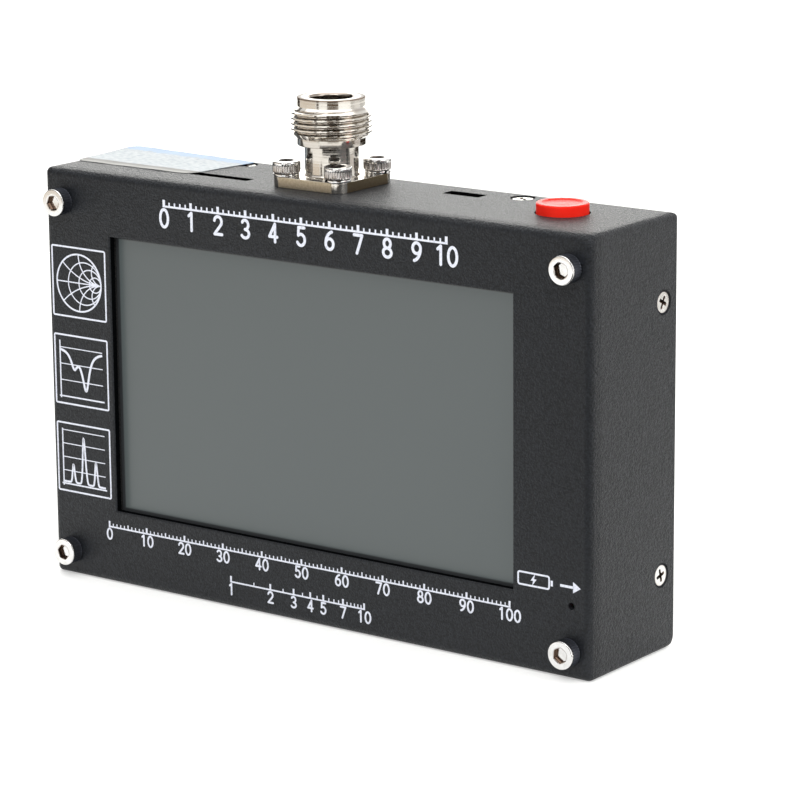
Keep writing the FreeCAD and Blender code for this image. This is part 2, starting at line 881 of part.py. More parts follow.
def make_power_coils():
    # Two wound coils of the charger and the supply, on the front face of the radio board.
    coils = []
    for step in range(2):
        base = Vector(coil_x + step * coil_pitch, radio_board_y, coil_z)
        drum = rod(coil_radius, coil_height, base, Y_AXIS * -1)
        start = base - Y_AXIS * (coil_height - coil_flange)
        wound = coil_height - coil_flange * 2
        groove = rod(coil_radius, wound, start, Y_AXIS)
        groove = groove.cut(rod(coil_radius - coil_groove, wound, start, Y_AXIS))
        coils.append(drum.cut(groove))
    return group(coils)


def make_connector_body():
    # Square flange with turned corners, neck, collar, threaded drum and nose, bored from the top.
    flange = column(socket_x, socket_y, flange_side, flange_side, housing_height, flange_top)
    flange = flange.makeFillet(flange_corner_radius, edges_along(flange, Z_AXIS, lambda m: True))
    profile = [(0, housing_height), (neck_radius, housing_height), (neck_radius, neck_top),
               (collar_radius, neck_top), (collar_radius, collar_top),
               (thread_radius - thread_chamfer, collar_top), (thread_radius, collar_top + thread_chamfer),
               (thread_radius, thread_top - thread_chamfer), (nose_radius + nose_taper / 2, thread_top),
               (nose_radius, thread_top + nose_taper), (nose_radius, socket_top - bore_chamfer / 2),
               (nose_radius - bore_chamfer / 2, socket_top), (0, socket_top)]
    body = join([flange, turned(profile, socket_x, socket_y)])
    bore = turned([(0, bore_floor), (socket_bore_radius, bore_floor),
                   (socket_bore_radius, socket_top - bore_chamfer),
                   (socket_bore_radius + bore_chamfer * 2, socket_top + bore_chamfer),
                   (0, socket_top + bore_chamfer)], socket_x, socket_y)
    inlet = Vector(socket_x, socket_y, insulator_bottom)
    centre = rod(insulator_radius, bore_floor - insulator_bottom, inlet, Z_AXIS)
    below = housing_height - flange_thickness
    holes = [rod(screw_radius + hole_gap, flange_thickness * 3, Vector(x, y, below), Z_AXIS)
             for x, y in flange_screw_places()]
    return body.cut(bore).cut(centre).cut(group(holes))


def make_connector_insulator():
    length = bore_floor - insulator_bottom
    base = Vector(socket_x, socket_y, insulator_bottom)
    return rod(insulator_radius, length, base, Z_AXIS).cut(rod(contact_waist_radius, length, base, Z_AXIS))


def make_connector_contact():
    # Slotted female contact above the insulator, a waist through it and a solder cup below.
    base = Vector(socket_x, socket_y, bore_floor)
    tip_length = contact_tip - bore_floor
    sleeve = rod(contact_radius, tip_length, base, Z_AXIS)
    inlet = Vector(socket_x, socket_y, insulator_bottom)
    waist = rod(contact_waist_radius, bore_floor - insulator_bottom, inlet, Z_AXIS)
    cup = rod(solder_cup_radius, solder_cup_length, Vector(socket_x, socket_y, cup_bottom), Z_AXIS)
    contact = join([sleeve, waist, cup])
    depth = contact_bore_depth
    drill = rod(contact_bore_radius, depth + 1, Vector(socket_x, socket_y, contact_tip - depth), Z_AXIS)
    reach = contact_radius * 3
    contact = contact.cut(drill)
    low, high = contact_tip - depth, contact_tip + 1
    for across, along in ((reach, contact_slot), (contact_slot, reach)):
        contact = contact.cut(column(socket_x, socket_y, across, along, low, high))
    return contact


def make_connector_screws():
    seat = flange_top + washer_thickness
    return group([cap_screw(Vector(x, y, seat), Z_AXIS, socket_screw_head_height, socket_screw_length)
                  for x, y in flange_screw_places()])


def make_connector_washers():
    # Split spring washers under the four screw heads.
    rings = []
    for x, y in flange_screw_places():
        base = Vector(x, y, flange_top)
        ring = rod(washer_radius, washer_thickness, base, Z_AXIS)
        ring = ring.cut(rod(screw_radius + hole_gap, washer_thickness, base, Z_AXIS))
        gap = block(x, x + washer_radius * 2, y - washer_split / 2, y + washer_split / 2,
                    flange_top - 1, flange_top + washer_thickness + 1)
        rings.append(ring.cut(gap))
    return group(rings)


def make_connector_nuts():
    nuts = []
    for x, y in flange_screw_places():
        base = Vector(x, y, top_inner - nut_thickness)
        nut = prism(nut_flats, nut_thickness, base, Z_AXIS)
        nuts.append(nut.cut(rod(screw_radius + thread_gap, nut_thickness, base, Z_AXIS)))
    return group(nuts)


def make_signal_wire():
    # Tinned wire from the solder cup down and back to the pad on the radio board.
    bend_z = cup_bottom - link_wire_drop + link_wire_bend
    drop = rod(link_wire_radius, cup_bottom - bend_z, Vector(socket_x, socket_y, bend_z), Z_AXIS)
    centre = Vector(socket_x, socket_y + link_wire_bend, bend_z)
    start = Vector(socket_x, socket_y, bend_z)
    bend = disc(link_wire_radius, start, Z_AXIS).revolve(centre, X_AXIS, 90)
    after = Vector(socket_x, centre.y, bend_z - link_wire_bend)
    back = rod(link_wire_radius, radio_board_y - centre.y, after, Y_AXIS)
    return join([drop, bend, back])


def make_power_button():
    # Round cap with a rolled rim and a shallow dish, pressed on the plunger.
    profile = [(0, button_bottom), (button_radius, button_bottom), (button_radius, button_top - button_rim)]
    for step in range(1, 5):
        angle = step * math.pi / 8
        profile.append((button_radius - button_rim * (1 - math.cos(angle)),
                        button_top - button_rim * (1 - math.sin(angle))))
    profile.append((button_radius - button_rim * 2.4, button_top - button_dish))
    profile.append((0, button_top - button_dish))
    cap = turned(profile, button_x, button_y)
    room = plunger_side + plunger_fit * 2
    return cap.cut(column(button_x, button_y, room, room, button_bottom - 1, plunger_top))


def make_switch_plunger():
    stem = column(button_x, button_y, plunger_side, plunger_side, plunger_bottom, plunger_top)
    return stem.makeChamfer(plunger_chamfer, edges_along(stem, Z_AXIS, lambda m: True))


def make_switch_body():
    # Moulded case lying on the radio board, bored for the plunger and its spring.
    body = column(button_x, button_y, switch_side, switch_side, switch_bottom, switch_top)
    room = plunger_side + plunger_gap * 2
    return body.cut(column(button_x, button_y, room, room, spring_bottom, switch_top + 1))


def make_switch_spring():
    # Coil spring between the floor of the switch and the plunger, with the wire's own thickness at each end.
    height = plunger_bottom - spring_bottom - spring_wire
    helix = Part.makeHelix(height / spring_turns, height, spring_radius)
    start = helix.Edges[0].valueAt(helix.Edges[0].FirstParameter)
    tangent = helix.Edges[0].tangentAt(helix.Edges[0].FirstParameter)
    section = Part.Wire(Part.makeCircle(spring_wire / 2, start, tangent))
    coil = Part.Wire(helix).makePipeShell([section], True, True)
    coil.translate(Vector(button_x, button_y, spring_bottom + spring_wire / 2))
    return coil


def make_switch_pins():
    # Two rows of three solder pins through the radio board.
    pins = []
    middle = (switch_bottom + switch_top) / 2
    for sign in (-1, 1):
        for step in (-1, 0, 1):
            base = Vector(button_x + sign * switch_pin_pitch, radio_board_y, middle + step * switch_pin_pitch)
            pins.append(rod(pin_radius, pin_length, base, Y_AXIS))
    return group(pins)


def drilled(plate, pins):
    # Boards are drilled to the size of the pins that are soldered through them.
    return plate.cut(pins)


def make_battery_pack():
    middle = battery_y + battery_depth / 2
    pouch = column(battery_x, middle, battery_width, battery_depth, battery_from_bottom, battery_top)
    return pouch.makeFillet(battery_edge_radius, edges_along(pouch, Z_AXIS, lambda m: True))


def make_battery_tape():
    middle = rear_inner - tape_thickness / 2
    width = battery_width - tape_inset * 2
    low = battery_from_bottom + tape_inset
    return column(battery_x, middle, width, tape_thickness, low, battery_top - tape_inset)


def battery_plug_y():
    return radio_board_back + battery_socket_depth / 2


def make_battery_socket():
    y = battery_plug_y()
    top = battery_socket_z + battery_socket_height
    body = column(battery_socket_x, y, battery_socket_width, battery_socket_depth, battery_socket_z, top)
    around = battery_socket_wall * 2
    deep = battery_socket_z + battery_plug_insert + battery_plug_gap
    return body.cut(column(battery_socket_x, y, battery_socket_width - around, battery_socket_depth - around,
                           battery_socket_z - 1, deep))


def make_battery_plug():
    around = (battery_socket_wall + battery_plug_gap) * 2
    width = battery_socket_width - around
    depth = battery_socket_depth - around
    top = battery_socket_z + battery_plug_insert
    return column(battery_socket_x, battery_plug_y(), width, depth, top - battery_plug_length, top)


def make_battery_leads():
    # Two short leads that rise from the pouch, step sideways and enter the plug side by side.
    top = battery_socket_z + battery_plug_insert - battery_plug_length
    y = battery_plug_y()
    leads = []
    for order in (0, 1):
        end_x = battery_socket_x + (order - 0.5) * lead_pitch
        start_x = end_x - lead_shift
        level = battery_top + lead_first_rise + lead_bend + (1 - order) * lead_pitch
        low = rod(lead_radius, level - lead_bend - battery_top, Vector(start_x, y, battery_top), Z_AXIS)
        turn = disc(lead_radius, Vector(start_x, y, level - lead_bend), Z_AXIS)
        turn = turn.revolve(Vector(start_x + lead_bend, y, level - lead_bend), Y_AXIS, 90)
        across = rod(lead_radius, lead_shift - lead_bend * 2, Vector(start_x + lead_bend, y, level), X_AXIS)
        rise = disc(lead_radius, Vector(end_x - lead_bend, y, level), X_AXIS)
        rise = rise.revolve(Vector(end_x - lead_bend, y, level + lead_bend), Y_AXIS, -90)
        high = rod(lead_radius, top - level - lead_bend, Vector(end_x, y, level + lead_bend), Z_AXIS)
        leads.append(join([low, turn, across, rise, high]))
    return group(leads)


def make_top_label():
    left = -half_width + label_from_left
    front = front_face + label_from_front
    return block(left, left + label_width, front, front + label_depth,
                 housing_height, housing_height + label_thickness)


def build():
    switch_pins = make_switch_pins()
    led_legs = make_led_legs()
    return {
        "front_shell": make_front_shell(),
        "rear_cover": make_rear_cover(),
        "shell_screws": make_shell_screws(),
        "panel_screws": make_panel_screws(),
        "front_standoffs": make_front_standoffs(),
        "rear_standoffs": make_rear_standoffs(),
        "board_screws": make_board_screws(),
        "display_gasket": make_display_gasket(),
        "touch_panel": make_touch_panel(),
        "lcd_glass": make_lcd_glass(),
        "backlight_tray": make_backlight_tray(),
        "light_guide": make_light_guide(),
        "display_pads": make_display_pads(),
        "display_ribbon": make_display_ribbon(),
        "touch_ribbon": make_touch_ribbon(),
        "display_socket": make_display_socket(),
        "touch_socket": make_touch_socket(),
        "main_board": drilled(make_main_board(), led_legs),
        "radio_board": drilled(make_radio_board(), switch_pins),
        "processor": make_processor(),
        "memory_chips": make_memory_chips(),
        "charger_chip": make_charger_chip(),
        "chip_leads": make_chip_leads(),
        "crystal": make_crystal(),
        "board_passives": make_board_passives(),
        "card_socket": make_card_socket(),
        "usb_socket": make_usb_socket(),
        "usb_tongue": make_usb_tongue(),
        "charge_led": make_charge_led(),
        "led_legs": led_legs,
        "link_socket": make_link_socket(),
        "link_header": make_link_header(),
        "link_pins": make_link_pins(),
        "shield_can": make_shield_can(),
        "radio_chips": make_radio_chips(),
        "power_coils": make_power_coils(),
        "connector_body": make_connector_body(),
        "connector_insulator": make_connector_insulator(),
        "connector_contact": make_connector_contact(),
        "connector_screws": make_connector_screws(),
        "connector_washers": make_connector_washers(),
        "connector_nuts": make_connector_nuts(),
        "signal_wire": make_signal_wire(),
        "power_button": make_power_button(),
        "switch_plunger": make_switch_plunger(),
        "switch_body": make_switch_body(),
        "switch_spring": make_switch_spring(),
        "switch_pins": switch_pins,
        "battery_pack": make_battery_pack(),
        "battery_tape": make_battery_tape(),
        "battery_socket": make_battery_socket(),
        "battery_plug": make_battery_plug(),
        "battery_leads": make_battery_leads(),
        "top_label": make_top_label(),
    }


def main():
    os.makedirs("parts", exist_ok=True)
    for name, shape in build().items():
        shape.exportStep("parts/" + name + ".step")
        print(name, "solids", len(shape.Solids), "volume", round(shape.Volume, 2), "valid", shape.isValid())


main()
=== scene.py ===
import json
import math
from functools import partial

import bmesh
import bpy
import numpy as np
from mathutils import Matrix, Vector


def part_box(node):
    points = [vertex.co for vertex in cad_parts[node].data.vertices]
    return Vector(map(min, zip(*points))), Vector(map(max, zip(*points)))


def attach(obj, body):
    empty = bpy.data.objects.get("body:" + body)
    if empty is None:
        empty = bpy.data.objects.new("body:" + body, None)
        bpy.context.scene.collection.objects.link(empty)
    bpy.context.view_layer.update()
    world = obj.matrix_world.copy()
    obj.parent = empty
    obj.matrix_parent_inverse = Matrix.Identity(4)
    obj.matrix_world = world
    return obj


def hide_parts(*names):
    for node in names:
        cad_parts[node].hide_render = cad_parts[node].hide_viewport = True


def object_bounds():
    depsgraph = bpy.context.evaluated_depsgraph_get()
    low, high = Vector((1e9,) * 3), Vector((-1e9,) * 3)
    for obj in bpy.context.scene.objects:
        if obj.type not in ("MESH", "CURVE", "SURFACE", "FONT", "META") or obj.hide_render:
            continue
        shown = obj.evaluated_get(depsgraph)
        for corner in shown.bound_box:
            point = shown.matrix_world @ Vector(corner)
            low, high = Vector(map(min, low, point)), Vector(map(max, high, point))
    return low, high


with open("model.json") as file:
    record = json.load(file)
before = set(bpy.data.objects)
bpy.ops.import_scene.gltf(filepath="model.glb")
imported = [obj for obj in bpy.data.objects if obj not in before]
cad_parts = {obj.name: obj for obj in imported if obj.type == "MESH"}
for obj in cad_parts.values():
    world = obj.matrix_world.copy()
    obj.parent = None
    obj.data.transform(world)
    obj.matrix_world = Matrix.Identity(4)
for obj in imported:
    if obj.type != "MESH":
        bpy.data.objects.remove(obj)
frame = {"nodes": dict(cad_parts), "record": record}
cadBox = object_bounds()
nodes = frame["nodes"]
mm = 0.001
fullTurn = 2 * math.pi
print("frame loaded:", len(nodes), "nodes")


# Places that the pieces share, all in millimetres and all read from the frame.

def boxOf(node):
    low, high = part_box(node)
    return np.array(low) / mm, np.array(high) / mm


def solidsOf(node):
    # Splits a node into its separate solids: corners that share a place or a triangle get the same label,
    # the lowest one spreads until nothing changes, and each label left over is one solid.
    mesh = nodes[node].data
    corners = np.empty(len(mesh.vertices) * 3, np.float32)
    mesh.vertices.foreach_get("co", corners)
    triangles = np.empty(len(mesh.loops), np.int32)
    mesh.loops.foreach_get("vertex_index", triangles)
    places, number = np.unique(np.round(corners.reshape(-1, 3), 6), axis=0, return_inverse=True)
    triangles = number.ravel()[triangles].reshape(-1, 3)
    label = np.arange(len(places))
    settled = False
    while not settled:
        spread = label.copy()
        np.minimum.at(spread, triangles.ravel(), np.repeat(label[triangles].min(1), 3))
        spread = spread[spread]
        settled = np.array_equal(spread, label)
        label = spread
    solids = [places[label == one] / mm for one in np.unique(label)]
    return np.array([one.min(0) for one in solids]), np.array([one.max(0) for one in solids])


housingLow, housingHigh = boxOf("front_shell")
frontY, topZ = housingLow[1], housingHigh[2]


# Surfaces worked out as whole arrays.

def unit(vectors):
    # Each vector over its own length; one without length stays zero.
    return vectors / np.maximum(np.linalg.norm(vectors, axis=-1, keepdims=True), 1e-12)


def softened(corners, cut, steps=4, width=5):
    # Each inner corner gives way to a parabola that leaves one side `cut` before it and joins the next as far
    # after. A corner's first two numbers are its place. The others, up to `width` in all, are blended along
    # with it, and are nought where they are left out.
    corners = np.array([[*corner, *[0] * (width - len(corner))] for corner in corners], float)
    middle = corners[1:-1]
    back, ahead = corners[:-2] - middle, corners[2:] - middle
    backLength, aheadLength = (np.maximum(np.linalg.norm(side[:, :2], axis=1), 1e-9)
                               for side in (back, ahead))
    reach = np.minimum(cut, 0.45 * np.minimum(backLength, aheadLength))
    start = middle + back * (reach / backLength)[:, None]
    end = middle + ahead * (reach / aheadLength)[:, None]
    t = np.linspace(0, 1, steps + 1)[None, :, None]
    curve = start[:, None] * (1 - t) ** 2 + middle[:, None] * 2 * t * (1 - t) + end[:, None] * t ** 2
    return np.vstack([corners[:1], curve.reshape(-1, width), corners[-1:]])


def gridQuads(rows, columns, closedRows, closedColumns):
    # Corner numbers of a grid's faces; a closed direction joins its last line to its first.
    number = np.arange(rows * columns).reshape(rows, columns)
    if closedRows:
        number = np.vstack([number, number[:1]])
    if closedColumns:
        number = np.hstack([number, number[:, :1]])
    around = [number[:-1, :-1], number[:-1, 1:], number[1:, 1:], number[1:, :-1]]
    return np.stack(around, -1).reshape(-1, 4)


def gathered(surfaces):
    # Several surfaces as one: each one's face numbers carry on from the corners before it.
    starts = np.cumsum([0] + [len(points) for points, quads in surfaces])
    return (np.vstack([points for points, quads in surfaces]),
            np.vstack([quads + start for (points, quads), start in zip(surfaces, starts)]))


def aroundAxis(reach, turn, height):
    # A point at each turn round the axis: the reach times its cosine and its sine, at the given height.
    return np.stack([reach * np.cos(turn), reach * np.sin(turn), height + 0 * turn], -1)


def capped(tube):
    # Closes a tube at both its ends, each on the middle of its section.
    ends = tube[[0, -1]].mean(1, keepdims=True).repeat(tube.shape[1], 1)
    return np.concatenate([ends[:1], tube, ends[1:]])


def turnedForm(outline, columns, socket, teeth=0, toothDepth=0.0):
    # Surface of revolution: outline corners are radius and height, the angle runs round the axis. The third
    # number is how far the radius follows the socket's outline, the fourth how deep the knurl's triangular
    # wave cuts, and the fifth how much painted shade lies there.
    radius, height, shaped, knurled, grime = outline.T[:, :, None]
    turn = np.linspace(0, fullTurn, columns, endpoint=False)[None, :]
    reach = radius * (1 - shaped * (1 - socket(turn)))
    reach = reach - knurled * toothDepth * np.abs(2 * ((turn * teeth / fullTurn) % 1) - 1)
    marks = {"fromAxis": reach.ravel(), "grime": (grime + 0 * turn).ravel()}
    points = aroundAxis(reach, turn, height).reshape(-1, 3)
    return points, gridQuads(len(outline), columns, False, True), marks


def outwards(out, twist):
    # Turn that carries +Z to `out` and spins by `twist` about it: the columns are side, other side and out.
    out = np.array(out, float)
    side = np.array([1.0, 0, 0]) if abs(out[2]) > 0.5 else np.array([0, 0, 1.0])
    spin = np.array([[math.cos(twist), -math.sin(twist), 0], [math.sin(twist), math.cos(twist), 0],
                     [0, 0, 1]])
    return np.stack([side, np.cross(out, side), out], 1) @ spin


def copied(surface, turns, places):
    # One surface at several places: every copy is turned by its own matrix, then moved.
    points, quads, marks = surface
    moved = np.einsum("kij,nj->kni", np.array(turns), points) + np.array(places)[:, None, :]
    numbered = quads[None] + np.arange(len(places))[:, None, None] * len(points)
    return (moved.reshape(-1, 3), numbered.reshape(-1, 4),
            {mark: np.tile(values, len(places)) for mark, values in marks.items()})


def placed(name, data):
    thing = bpy.data.objects.new(name, data)
    bpy.context.scene.collection.objects.link(thing)
    return thing


def makePiece(name, surface, slot=None, body="housing", replaced=None, sharp=32):
    # Points and faces become a closed mesh: seams and poles are merged, then every shell is turned outwards.
    # A third part of the surface holds marks that its material reads. Without a slot it is printed in ink.
    points, quads, *marks = surface
    mesh = bpy.data.meshes.new(name)
    mesh.from_pydata(points * mm, [], quads)
    for mark, values in marks[0].items() if marks else ():
        mesh.attributes.new(mark, "FLOAT", "POINT").data.foreach_set("value", values.astype(np.float32))
    closed = bmesh.new()
    closed.from_mesh(mesh)
    bmesh.ops.remove_doubles(closed, verts=closed.verts, dist=1e-7)
    bmesh.ops.recalc_face_normals(closed, faces=closed.faces)
    closed.to_mesh(mesh)
    closed.free()
    mesh.materials.append(looks[slot] if slot else ink)
    mesh.shade_smooth()
    mesh.set_sharp_from_angle(angle=math.radians(sharp))
    piece = placed(name, mesh)
    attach(piece, body)
    if replaced:
        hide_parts(replaced)
    return piece


# Materials.

def hexColour(text):
    # sRGB hex to linear: the usual curve, with its straight foot.
    channels = np.array([int(text[i:i + 2], 16) / 255 for i in (1, 3, 5)])
    linear = np.where(channels <= 0.04045, channels / 12.92, ((channels + 0.055) / 1.055) ** 2.4)
    return (*linear.tolist(), 1.0)


def perMetre(millimetres):
    # Texture scale at which one feature is that many millimetres wide.
    return 1 / (millimetres * mm)


def fill(node, values=(), **named):
    # Fills a node's sockets, the live ones in their order and then those that are named: an output is linked,
    # a hex colour turned to linear, and anything else set as it is.
    live = [socket for socket in node.inputs if socket.enabled]
    chosen = [(node.inputs[name.replace("_", " ")], value) for name, value in named.items()]
    for socket, value in [*zip(live, values), *chosen]:
        if isinstance(value, bpy.types.NodeSocket):
            node.id_data.links.new(value, socket)
        else:
            socket.default_value = hexColour(value) if isinstance(value, str) else value


def addNode(tree, kind, *values, out=None, **settings):
    # Adds a node and returns its first live output, or those asked for. A second word after the kind is its
    # operation or data type, a setting with a small letter is an option, and the others are sockets.
    kind, *mode = kind.split()
    fresh = tree.nodes.new("ShaderNode" + kind)
    for word in mode:
        setattr(fresh, "data_type" if kind == "Mix" else "operation", word)
    for option in [name for name in settings if name.islower()]:
        setattr(fresh, option, settings.pop(option))
    fill(fresh, values, **settings)
    return fresh.outputs[out] if out else next(socket for socket in fresh.outputs if socket.enabled)


def startMaterial(name, **settings):
    # A material with its Principled shader set up. It returns what adds a node to it, the object coordinates
    # that its patterns read, and what fills the shader's other sockets and hands the material over.
    material = bpy.data.materials.new(name)
    material.use_nodes = True
    shader = material.node_tree.nodes["Principled BSDF"]
    fill(shader, **settings)
    add = partial(addNode, material.node_tree)

    def finished(**sockets):
        fill(shader, **sockets)
        return material

    return add, add("TexCoord", out="Object"), finished


def rising(add, distance, width, depth):
    # Height that eases from -depth at a fold's line up to nothing at `width` millimetres from it.
    return add("MapRange", distance, 0, width * mm, -depth, 0, interpolation_type="SMOOTHSTEP")


def insideBox(add, *ranges):
    # One inside a box and nought outside it: the product of its directions, each from one length to another.
    inside = 1.0
    for along, start, end in ranges:
        within = add("Math COMPARE", along, (start + end) / 2 * mm, (end - start) / 2 * mm)
        inside = add("Math MULTIPLY", inside, within)
    return inside


powderCoat = {
    "ground": "#111316",
    "fleck": "#202328",
    # painted shade for the cut edges and slot borders, and the real dark of the seam's hairline
    "shadeAndSeam": "#08090A",
    "pebble": 0.34,  # width of one pebble of the texture
    "ripple": 0.9,  # orange peel under the pebbles
    "relief": 0.28,
    "gloss": (0.3, 0.42),  # on the front, and on the walls behind it
    "roughness": (0.32, 0.55),
    # Half the width and depth of the slots in the top wall, with their borders painted dark as shade.
    "slots": {"card_socket": (7.35, 1.25), "usb_socket": (4.25, 1.65)},
    "skin": 0.2,  # how deep into the top wall those borders and the seam reach
    "windowEdge": (0.3, 2.7),  # the window's cut edge, painted dark as shade, from the front backwards
    "windowSlack": 0.04,
    "wallEdge": (0.03, 1.57),  # the cut edges in the top wall, painted dark as shade, from its outer face downwards
    "wallEnds": (2, 2, 0.5),  # how far short of the wall's ends that painted shade stops: at the sides, in front and behind
    # How wide a fold looks and how far it falls away: behind the front panel, and between the top and a side.
    "frontFold": (3.9, 1.1),
    "sideFold": (2.2, 0.5),
    "grainStrength": (0.6, 2.3),  # as for the gloss: sprayed flat, the walls' coat lies coarser
    "seam": (65.19, 65.41),  # from the middle of the part, on both sides
    "seamFade": (frontY * 0.8, -1.0),  # where along Y the seam begins to fade, and where it ends
}
gasketBorder = 2.8  # how far the display's gasket reaches past the window
low, high = boxOf("display_gasket")
windowLow, windowHigh = low + gasketBorder, high - gasketBorder


def texturedPowderCoat():
    # Black polyester powder baked on sheet steel: small pebbles that scatter the light into a fine grain,
    # matt and painted darker as shade on the cut edges of the window, holes and slots and on borders round
    # the slots, and a dark hairline where the folded sheet meets itself.
    add, place, finished = startMaterial("textured black powder coat")
    x, y, z = add("SeparateXYZ", place, out=slice(3))
    across = add("Math ABSOLUTE", x)
    onTop = (z, topZ - powderCoat["skin"], topZ + powderCoat["skin"])
    slack, (start, end) = powderCoat["windowSlack"], powderCoat["windowEdge"]
    window = ((x, windowLow[0] - slack, windowHigh[0] + slack), (y, frontY + start, frontY + end),
              (z, windowLow[2] - slack, windowHigh[2] + slack))
    (start, end), (side, front, rear) = powderCoat["wallEdge"], powderCoat["wallEnds"]
    wall = ((across, 0, housingHigh[0] - side), (y, frontY + front, housingHigh[1] - rear),
            (z, topZ - end, topZ - start))
    boxes = [window, wall]
    for node, halves in powderCoat["slots"].items():
        middle = sum(boxOf(node)) / 2
        boxes.append((onTop, *((along, centre - half, centre + half)
                               for along, centre, half in zip((x, y), middle, halves))))
    # Mask of painted shade: the cut edges of the window and the top wall, and the borders round the slots.
    inside = 0.0
    for box in boxes:
        inside = add("Math MAXIMUM", inside, insideBox(add, *box))
    fade = add("MapRange", y, *(end * mm for end in powderCoat["seamFade"]), 1, 0)
    seam = add("Math MULTIPLY", insideBox(add, (across, *powderCoat["seam"]), onTop), fade)
    pebbles = add("TexNoise", place, Scale=perMetre(powderCoat["pebble"]), Detail=2.0, Roughness=0.55)
    ripples = add("TexNoise", place, Scale=perMetre(powderCoat["ripple"]), Detail=1.0)
    grain = add("MapRange", pebbles, 0.36, 0.66)
    paint = add("Mix RGBA", grain, powderCoat["ground"], powderCoat["fleck"])
    # Painted shade where that mask is, and the seam's dark hairline.
    paint = add("Mix RGBA", add("Math MAXIMUM", inside, seam), paint, powderCoat["shadeAndSeam"])
    smooth, matt = powderCoat["roughness"]
    sheen = add("Math MAXIMUM", add("MapRange", pebbles, 0.3, 0.7, matt, smooth), inside)
    height = add("Math MULTIPLY_ADD", ripples, 0.6, pebbles)
    height = add("Math SUBTRACT", height, seam)
    fromFront = add("Math SUBTRACT", y, frontY * mm)
    fromSide = add("Math MAXIMUM", add("Math SUBTRACT", housingHigh[0] * mm, across),
                   add("Math SUBTRACT", topZ * mm, z))
    fold = add("Math ADD", rising(add, fromFront, *powderCoat["frontFold"]),
               rising(add, fromSide, *powderCoat["sideFold"]))
    bent = add("Bump", Height=fold, Strength=1.0, Distance=mm)
    strength, gloss = (add("MapRange", fromFront, 0, 2 * mm, *powderCoat[key])
                       for key in ("grainStrength", "gloss"))
    relief = add("Bump", Height=height, Strength=strength, Distance=powderCoat["relief"] * mm, Normal=bent)
    gloss = add("Math MULTIPLY", gloss, add("Math SUBTRACT", 1.0, inside))
    return finished(Specular_IOR_Level=gloss, Base_Color=paint, Roughness=sheen, Normal=relief)


screenInk = {"white": "#E3E6F1", "thin": "#C9CDDA", "patch": 0.5, "relief": 0.01}


def screenPrintedInk():
    # White epoxy ink pushed through a screen: flat and faintly blue, a little thinner where the mesh left
    # less of it.
    add, place, finished = startMaterial("white screen ink", Roughness=0.55)
    mesh = add("TexNoise", place, Scale=perMetre(screenInk["patch"]), Detail=2.0)
    cover = add("MapRange", mesh, 0.3, 0.5)
    ink = add("Mix RGBA", cover, screenInk["thin"], screenInk["white"])
    return finished(Base_Color=ink, Normal=add("Bump", Height=mesh, Distance=screenInk["relief"] * mm))


touchFilm = {
    "grey": "#323637",
    "warmGrey": "#343838",
    # painted glow that stands in for light and evens out the grey
    "glow": "#3F4545",
    "border": "#333537",
    "borders": {"left": 0.4, "right": 1.25, "bottom": 0.3, "top": 0.5},  # the dark edge inside the window, where the painted glow is left off
    "blend": 0.25,
    "cloud": 30,
    "grain": 0.3,  # the real film's grain is finer than a pixel, so it is drawn this coarse
    "relief": 0.0015,
}


def hardCoatedTouchFilm():
    # Hard-coated polyester touch film over a blank display: a grey kept even by a painted glow that stands in
    # for light, with a soft gloss and a dark border where that glow is left off.
    add, place, finished = startMaterial("hard-coated touch film", Roughness=0.32, Coat_Weight=0.15,
                                         Coat_Roughness=0.2, Emission_Color=touchFilm["glow"])
    x, y, z = add("SeparateXYZ", place, out=slice(3))
    borders, blend = touchFilm["borders"], touchFilm["blend"]
    face = 1.0
    for along, edge, border, inwards in ((x, windowLow[0], borders["left"], 1),
                                         (x, windowHigh[0], borders["right"], -1),
                                         (z, windowLow[2], borders["bottom"], 1),
                                         (z, windowHigh[2], borders["top"], -1)):
        start = edge + border * inwards
        inner = add("MapRange", along, start * mm, (start + blend * inwards) * mm)
        face = add("Math MINIMUM", face, inner)
    cloud = add("TexNoise", place, Scale=perMetre(touchFilm["cloud"]), Detail=1.0)
    grey = add("Mix RGBA", cloud, touchFilm["grey"], touchFilm["warmGrey"])
    grey = add("Mix RGBA", face, touchFilm["border"], grey)
    frost = add("TexNoise", place, Scale=perMetre(touchFilm["grain"]), Detail=1.0)
    # The painted glow shines only inside the borders.
    return finished(Base_Color=grey, Emission_Strength=face,
                    Normal=add("Bump", Height=frost, Distance=touchFilm["relief"] * mm))


# Plated, rolled or drawn metals: name, colour, its darker shade, least and greatest roughness, and in
# millimetres the pitch of the tool's rings and the width of a stain.
metals = {
    "bright_screws": ("bright nickel on steel", "#EAE9E6", "#D3D2CE", (0.12, 0.26), 0.16, 1.1),
    "stainless_cap_screws": ("cold-headed stainless steel", "#E6E5E4", "#D9D8D6", (0.08, 0.18), 0.2, 0.9),
    "plated_brass": ("nickel-plated brass bar", "#CFC9B8", "#B3A98C", (0.2, 0.35), 0.3, 1.6),
    "zinc_screws": ("zinc-plated steel", "#C3C8CC", "#A9A894", (0.25, 0.45), 0.2, 1.0),
    "tinplate": ("rolled tinplate", "#C9C9C6", "#B2B1AC", (0.28, 0.45), 0.4, 2.5),
    "tinned_metal": ("tinned copper", "#D0CFCB", "#B8B5AD", (0.3, 0.5), 0.3, 0.8),
    "gold_plate": ("gold plate on bronze", "#E0BA62", "#C79A48", (0.16, 0.3), 0.2, 0.8),
    "spring_wire": ("drawn music wire", "#A9A9AB", "#86868A", (0.25, 0.42), 0.2, 0.5),
}


# Painted shade over metal in knurls, sockets, creases and rims, at the mark grime of a half, one and
# one and a half; the painted shade also dulls what metal mirrors at a low angle.
shadeColours = {"brown shade": "#6B5646", "black shade": "#3A3D45", "grey shade": "#696C75"}
shadeDulledTint = 0.3


